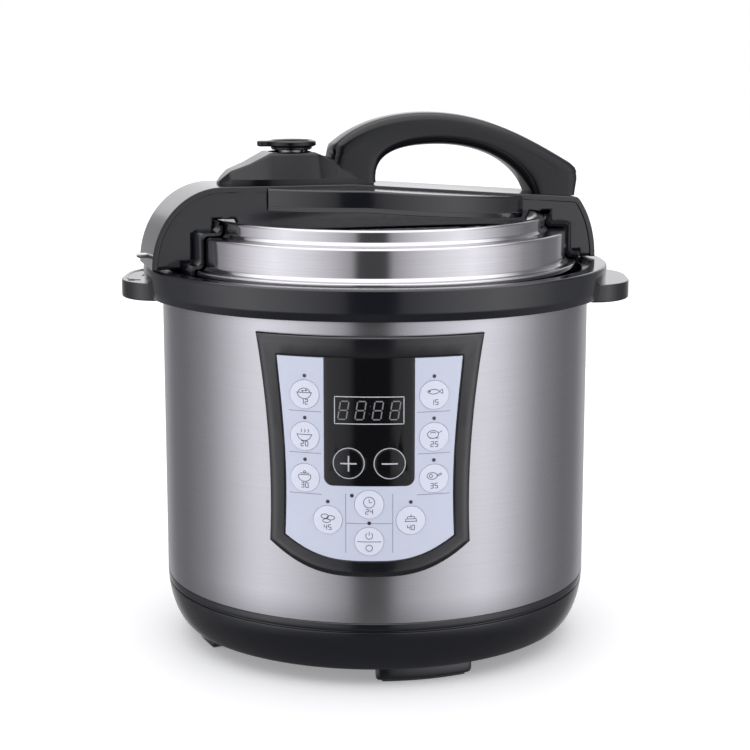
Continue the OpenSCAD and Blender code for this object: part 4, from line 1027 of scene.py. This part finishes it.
# simple line drawings, one for each key, in millimetres from the key's centre
def pictures():
    bowlLines = [oval(0, 1.2, 4, 3.6, 180, 360), [(-4.6, 1.2), (4.6, 1.2)]]
    return {
        "key_left_top": (bowlLines + [oval(0, 1.2, 3.3, 2.6, 0, 180), oval(-0.9, 2.2, 0.5, 0.3),
                                      oval(1, 2.5, 0.5, 0.3)], "12"),
        "key_left_mid": (bowlLines + [[(-2, 2.4), (-1.4, 3.4), (-2, 4.4)], [(0, 2.4), (0.6, 3.4), (0, 4.4)],
                                      [(2, 2.4), (2.6, 3.4), (2, 4.4)]], "20"),
        "key_left_low": ([oval(0, 0.9, 3.6, 2.9, 160, 380), [(-3.6, 2), (3.6, 2)], [(-2.6, 2.9), (2.6, 2.9)],
                          oval(0, 3.7, 0.7, 0.6)], "30"),
        "key_right_top": ([oval(-0.6, 0.2, 4.2, 3.2, 35, 145, 12), oval(-0.6, 3.9, 4.2, 3.2, 215, 325, 12),
                           [(2.8, 2.05), (4.6, 3.5), (4.6, 0.6), (2.8, 2.05)],
                           oval(-2.8, 2.3, 0.3, 0.3)], "15"),
        "key_right_mid": ([oval(-0.8, 1.6, 3.2, 2.3), [(2.2, 2.3), (4.4, 3.4)], [(-2.8, -0.6), (2.6, -0.6)],
                           oval(-0.8, 1.9, 1.6, 1, 20, 160)], "25"),
        "key_right_low": ([oval(-1.2, 1.7, 2.9, 2), oval(-1.9, 1.7, 0.9, 0.9), [(1.5, 2.1), (4.2, 3.2)],
                           [(1.5, 1.3), (4.6, 2.5)]], "35"),
        "key_inner_left": ([oval(-1.6, 2.3, 2.2, 1.3), oval(1.9, 1.5, 2.2, 1.3),
                            oval(-0.6, -0.3, 2.2, 1.1)], "45"),
        "key_inner_right": ([[(-3.6, -0.4), (3.6, -0.4)], [(-3, -0.4), (-3, 1.1), (3, 1.1), (3, -0.4)],
                             [(-2, 1.1), (-2, 2.4), (2, 2.4), (2, 1.1)], [(0, 2.4), (0, 3.7)]], "40"),
        "key_timer": ([oval(0, 1.4, 3.2, 3.2, 0, 360, 24), [(0, 3.4), (0, 1.4), (1.6, 1.4)]], "24"),
        "key_cancel": ([oval(0, 3.6, 2, 2, 130, 410, 12), [(0, 3.8), (0, 6)], [(-7, 0), (7, 0)],
                        oval(0, -3.8, 1.9, 1.9, 0, 360, 16)], ""),
        "key_plus": ([[(-4.6, 0), (4.6, 0)], [(0, -4.6), (0, 4.6)]], ""),
        "key_minus": ([[(-4.6, 0), (4.6, 0)]], ""),
    }


keyShape = {"rise": 0.45, "crown": 0.55, "deep": 1.3, "edge": 0.5, "edgeHigh": 0.35}
mark = {"y": -5.6, "wide": 1.5, "step": 2.5, "high": 2.9}  # the number below each drawing
inkFlat = 0.25


def keyHeight(x, y):  # height of a key's dome over the panel's skin
    return keyShape["rise"] + keyShape["crown"] * max(0, 1 - (x * x + y * y) / keyR**2)


def makeKeys():
    for name, (lines, number) in pictures().items():
        cap, ink, width = ("window", "lightInk", 0.42) if name in darkKeys else ("film", "ink", 0.2)
        low, rim = -keyShape["deep"], keyR - keyShape["edge"]
        profile = [(0, low), (keyR - 0.1, low), (keyR, low + 0.1)]
        edge, high = keyShape["edge"], keyShape["edgeHigh"]
        profile += [(rim + edge * math.cos(t), keyHeight(rim, 0) - high + high * math.sin(t))
                    for t in [math.pi / 2 * i / 5 for i in range(6)]]
        profile += [(r, keyHeight(r, 0)) for r in [rim * (1 - i / 6) for i in range(1, 7)]]
        dome = spin("dome", profile, finish[cap], 64, loop=False)
        if number:
            lines = lines + numeral(number, 0, mark["y"], mark["wide"], mark["step"], mark["high"])
        drawing = strokes("drawing", lines, width, finish[ink], inkFlat, keyHeight)
        piece = joined([dome, drawing], name.replace("key_", "cap_"))
        place(bent(piece, 0, skinR, keyPlaces[name]), name, cap, name)


def printed(piece, key):
    place(bent(piece, 0, skinR + 0.01), "cooker", key)


display = {"low": 120.2, "high": 136, "half": 19.9, "digitWide": 4.9, "digitTall": 10.6, "lean": 0.16,
           "gap": 0.45, "spacing": 9.9, "keyRingR": 8.95}


def makePrint():
    lines = []
    for side in (-1, 1):
        for z in (126.7, 102.2, 78):
            lines.append([(side * x, z) for x in (27.6, 32, 37, 42, 46.5)])
        lines.append([(side * 13.6, z) for z in (79, 43.8)])
    lines.append([(x, 61.4) for x in (-13.6, -7, 0, 7, 13.6)])
    printed(strokes("panelRules", lines, 0.17, finish["rule"], inkFlat), "rule")
    low, high, half = display["low"], display["high"], display["half"]
    around = display["keyRingR"]
    lines = [oval(x, adjustZ, around, around, 0, 360, 48) for x in (-adjustX, adjustX)]
    lines.append([(-half, low), (-half / 2, low), (0, low), (half / 2, low), (half, low), (half, high),
                  (half / 2, high), (0, high), (-half / 2, high), (-half, high), (-half, low)])
    printed(strokes("windowRules", lines, 0.27, finish["lightInk"], inkFlat), "lightInk")
    digit = []
    wide, tall, spacing = display["digitWide"], display["digitTall"], display["spacing"]
    for bar in bars.values():
        start, end = (Vector((x * wide, y * tall / 2)) for x, y in bar)
        way = (end - start).normalized() * display["gap"]
        digit.append([(p.x + p.y * display["lean"], p.y) for p in (start + way, end - way)])
    one = strokes("digit", digit, 0.36, finish["digits"], 0.2)
    moved(one, -1.5 * spacing - wide / 2 - 0.8, (low + high - tall) / 2)
    values = {"Count": 4, "Step": (spacing * mm, 0, 0), "Material": finish["digits"]}
    row = applyTree(one, rowOf, values, "digitRow")
    dots = strokes("dots", [[(0.1, 126), (0.15, 126.1)], [(0.5, 130.4), (0.55, 130.5)]], 0.5,
                   finish["digits"], 0.2)
    printed(joined([row, dots], "displayDigits"), "digits")


makeBezel()
makeMembrane()
makeWindow()
makeKeys()
makePrint()
print("control panel made")


# CAD nodes that keep their shape
softened("condensateCup", "condensate_cup", "cup", "smoke", 0.7)
softened("cupHolder", "cup_holder", "cooker", "satin", 0.6)
softened("footPads", "foot_pads", "cooker", "rubber", 0.5)
kept = {
    "gloss": ["mains_inlet"], "satin": ["bottom_cover"],
    "plainSteel": ["exhaust_pipe", "exhaust_nut", "steam_filter", "ring_rack", "lock_pin", "valve_weight"],
    "zinc": ["bottom_screws", "housing_screws", "lid_bolts", "handle_screws", "inlet_pins"],
    "pressed": ["pressure_housing", "inner_pot"], "cast": ["heating_plate", "temperature_sensor"],
    "darkSteel": ["heating_tube", "sensor_spring", "plate_spring"], "red": ["float_pin"],
    "silicone": ["sealing_ring", "float_gasket"], "board": ["power_board", "control_board"],
    "component": ["board_parts", "display_module", "key_switches"],
    "ceramic": ["thermal_fuse", "pressure_switch"], "lamp": ["panel_lamps"],
}
for key, names in kept.items():
    for name in names:
        node = frame["nodes"][name]
        if not node.material_slots:
            node.data.materials.append(finish[key])
        for slot in node.material_slots:
            slot.material = finish[key]
print("kept nodes painted")


# brightness of the studio walls by the angle round from the camera, in degrees
studio = {"floor": 14, "paper": 1.0, "ceiling": 1.7, "ceilingFrom": 0.62, "ceilingTo": 0.82, "lower": 0.16,
          "lowerFrom": -0.3, "lowerTo": -0.62, "backSize": (2.6, 1.2), "backPower": 5,
          "backPlace": (0, 2.4, 0.95), "backAim": (0, 0, 0.25),
          "walls": [(0, 0.07), (8.5, 0.07), (12, 0.42), (24, 0.7), (40, 1.0), (60, 1.25), (72, 1.05),
                    (84, 0.72), (100, 0.36), (122, 0.2), (140, 0.22), (158, 0.5), (180, 0.6)]}
view = {"sensor": 36, "lens": 87.4, "near": 0.05, "far": 50, "turn": 1.4, "away": 1.1566, "high": 0.3821,
        "dip": 10.6}


def makeWorld():
    world = bpy.data.worlds.new("studio")
    world.use_nodes = True
    tree = world.node_tree
    tree.nodes.clear()
    place = addNode(tree, "ShaderNodeTexCoord")["Generated"]
    parts = addNode(tree, "ShaderNodeSeparateXYZ", {"Vector": place})
    around = mathNode(tree, "ARCTAN2", parts["X"], mathNode(tree, "MULTIPLY", parts["Y"], -1.0))
    share = mathNode(tree, "DIVIDE", mathNode(tree, "ABSOLUTE", around), math.pi)
    colour = addNode(tree, "ShaderNodeValToRGB", {"Fac": share})["Color"]
    ramp = colour.node.color_ramp
    while len(ramp.elements) < len(studio["walls"]):
        ramp.elements.new(0.5)
    for element, (angle, bright) in zip(ramp.elements, studio["walls"]):
        element.position = angle / 180
        element.color = (bright, bright, bright * 1.03, 1)
    for part in ("ceiling", "lower"):
        rise = addNode(tree, "ShaderNodeMapRange", {
            "Value": parts["Z"], "From Min": studio[part + "From"], "From Max": studio[part + "To"]},
            interpolation_type="SMOOTHSTEP")["Result"]
        colour = mixed(tree, rise, colour, [studio[part]] * 3)
    walls = addNode(tree, "ShaderNodeBackground", {"Color": colour})["Background"]
    paper = addNode(tree, "ShaderNodeBackground", {"Color": (*[studio["paper"]] * 3, 1)})["Background"]
    seen = addNode(tree, "ShaderNodeLightPath")["Is Camera Ray"]
    both = addNode(tree, "ShaderNodeMixShader", {"Fac": seen, 1: walls, 2: paper})["Shader"]
    addNode(tree, "ShaderNodeOutputWorld", {"Surface": both})
    bpy.context.scene.world = world


def makeBackLight():  # gives the dish and the deck their white sheen
    light = bpy.data.lights.new("backLight", "AREA")
    light.shape = "RECTANGLE"
    light.size, light.size_y = studio["backSize"]
    light.energy = studio["backPower"]
    lamp = addObject("backLight", light)
    lamp.location = studio["backPlace"]
    lamp.rotation_euler = (Vector(studio["backAim"]) - lamp.location).to_track_quat("-Z", "Y").to_euler()
    lamp.visible_camera = False


def makeFloor():
    half = studio["floor"] / 2
    corners = [(-half, -half, 0), (half, -half, 0), (half, half, 0), (-half, half, 0)]
    mesh = bpy.data.meshes.new("floor")
    mesh.from_pydata(corners, [], [(0, 1, 2, 3)])
    floor = addObject("floor", mesh)
    pale = surface("paleFloor", (0.86, 0.86, 0.87), 0.6, tone=0.01, wear=0.0, smudge=0.02, grain=coarse,
                   bump=0.01, glow=0.32)
    floor.visible_glossy = False  # the steel mirrors the studio walls
    paint(floor, pale)


def makeCamera():
    camera = addObject("camera", bpy.data.cameras.new("camera"))
    camera.data.sensor_width, camera.data.lens = view["sensor"], view["lens"]
    camera.data.clip_start, camera.data.clip_end = view["near"], view["far"]
    turn, dip = math.radians(view["turn"]), math.radians(view["dip"])
    camera.location = (view["away"] * math.sin(turn), -view["away"] * math.cos(turn), view["high"])
    camera.rotation_euler = (math.pi / 2 - dip, 0, turn)
    bpy.context.scene.camera = camera


makeWorld()
makeBackLight()
makeFloor()
makeCamera()
bpy.context.scene.view_settings.view_transform = "Standard"
print("scene ready")
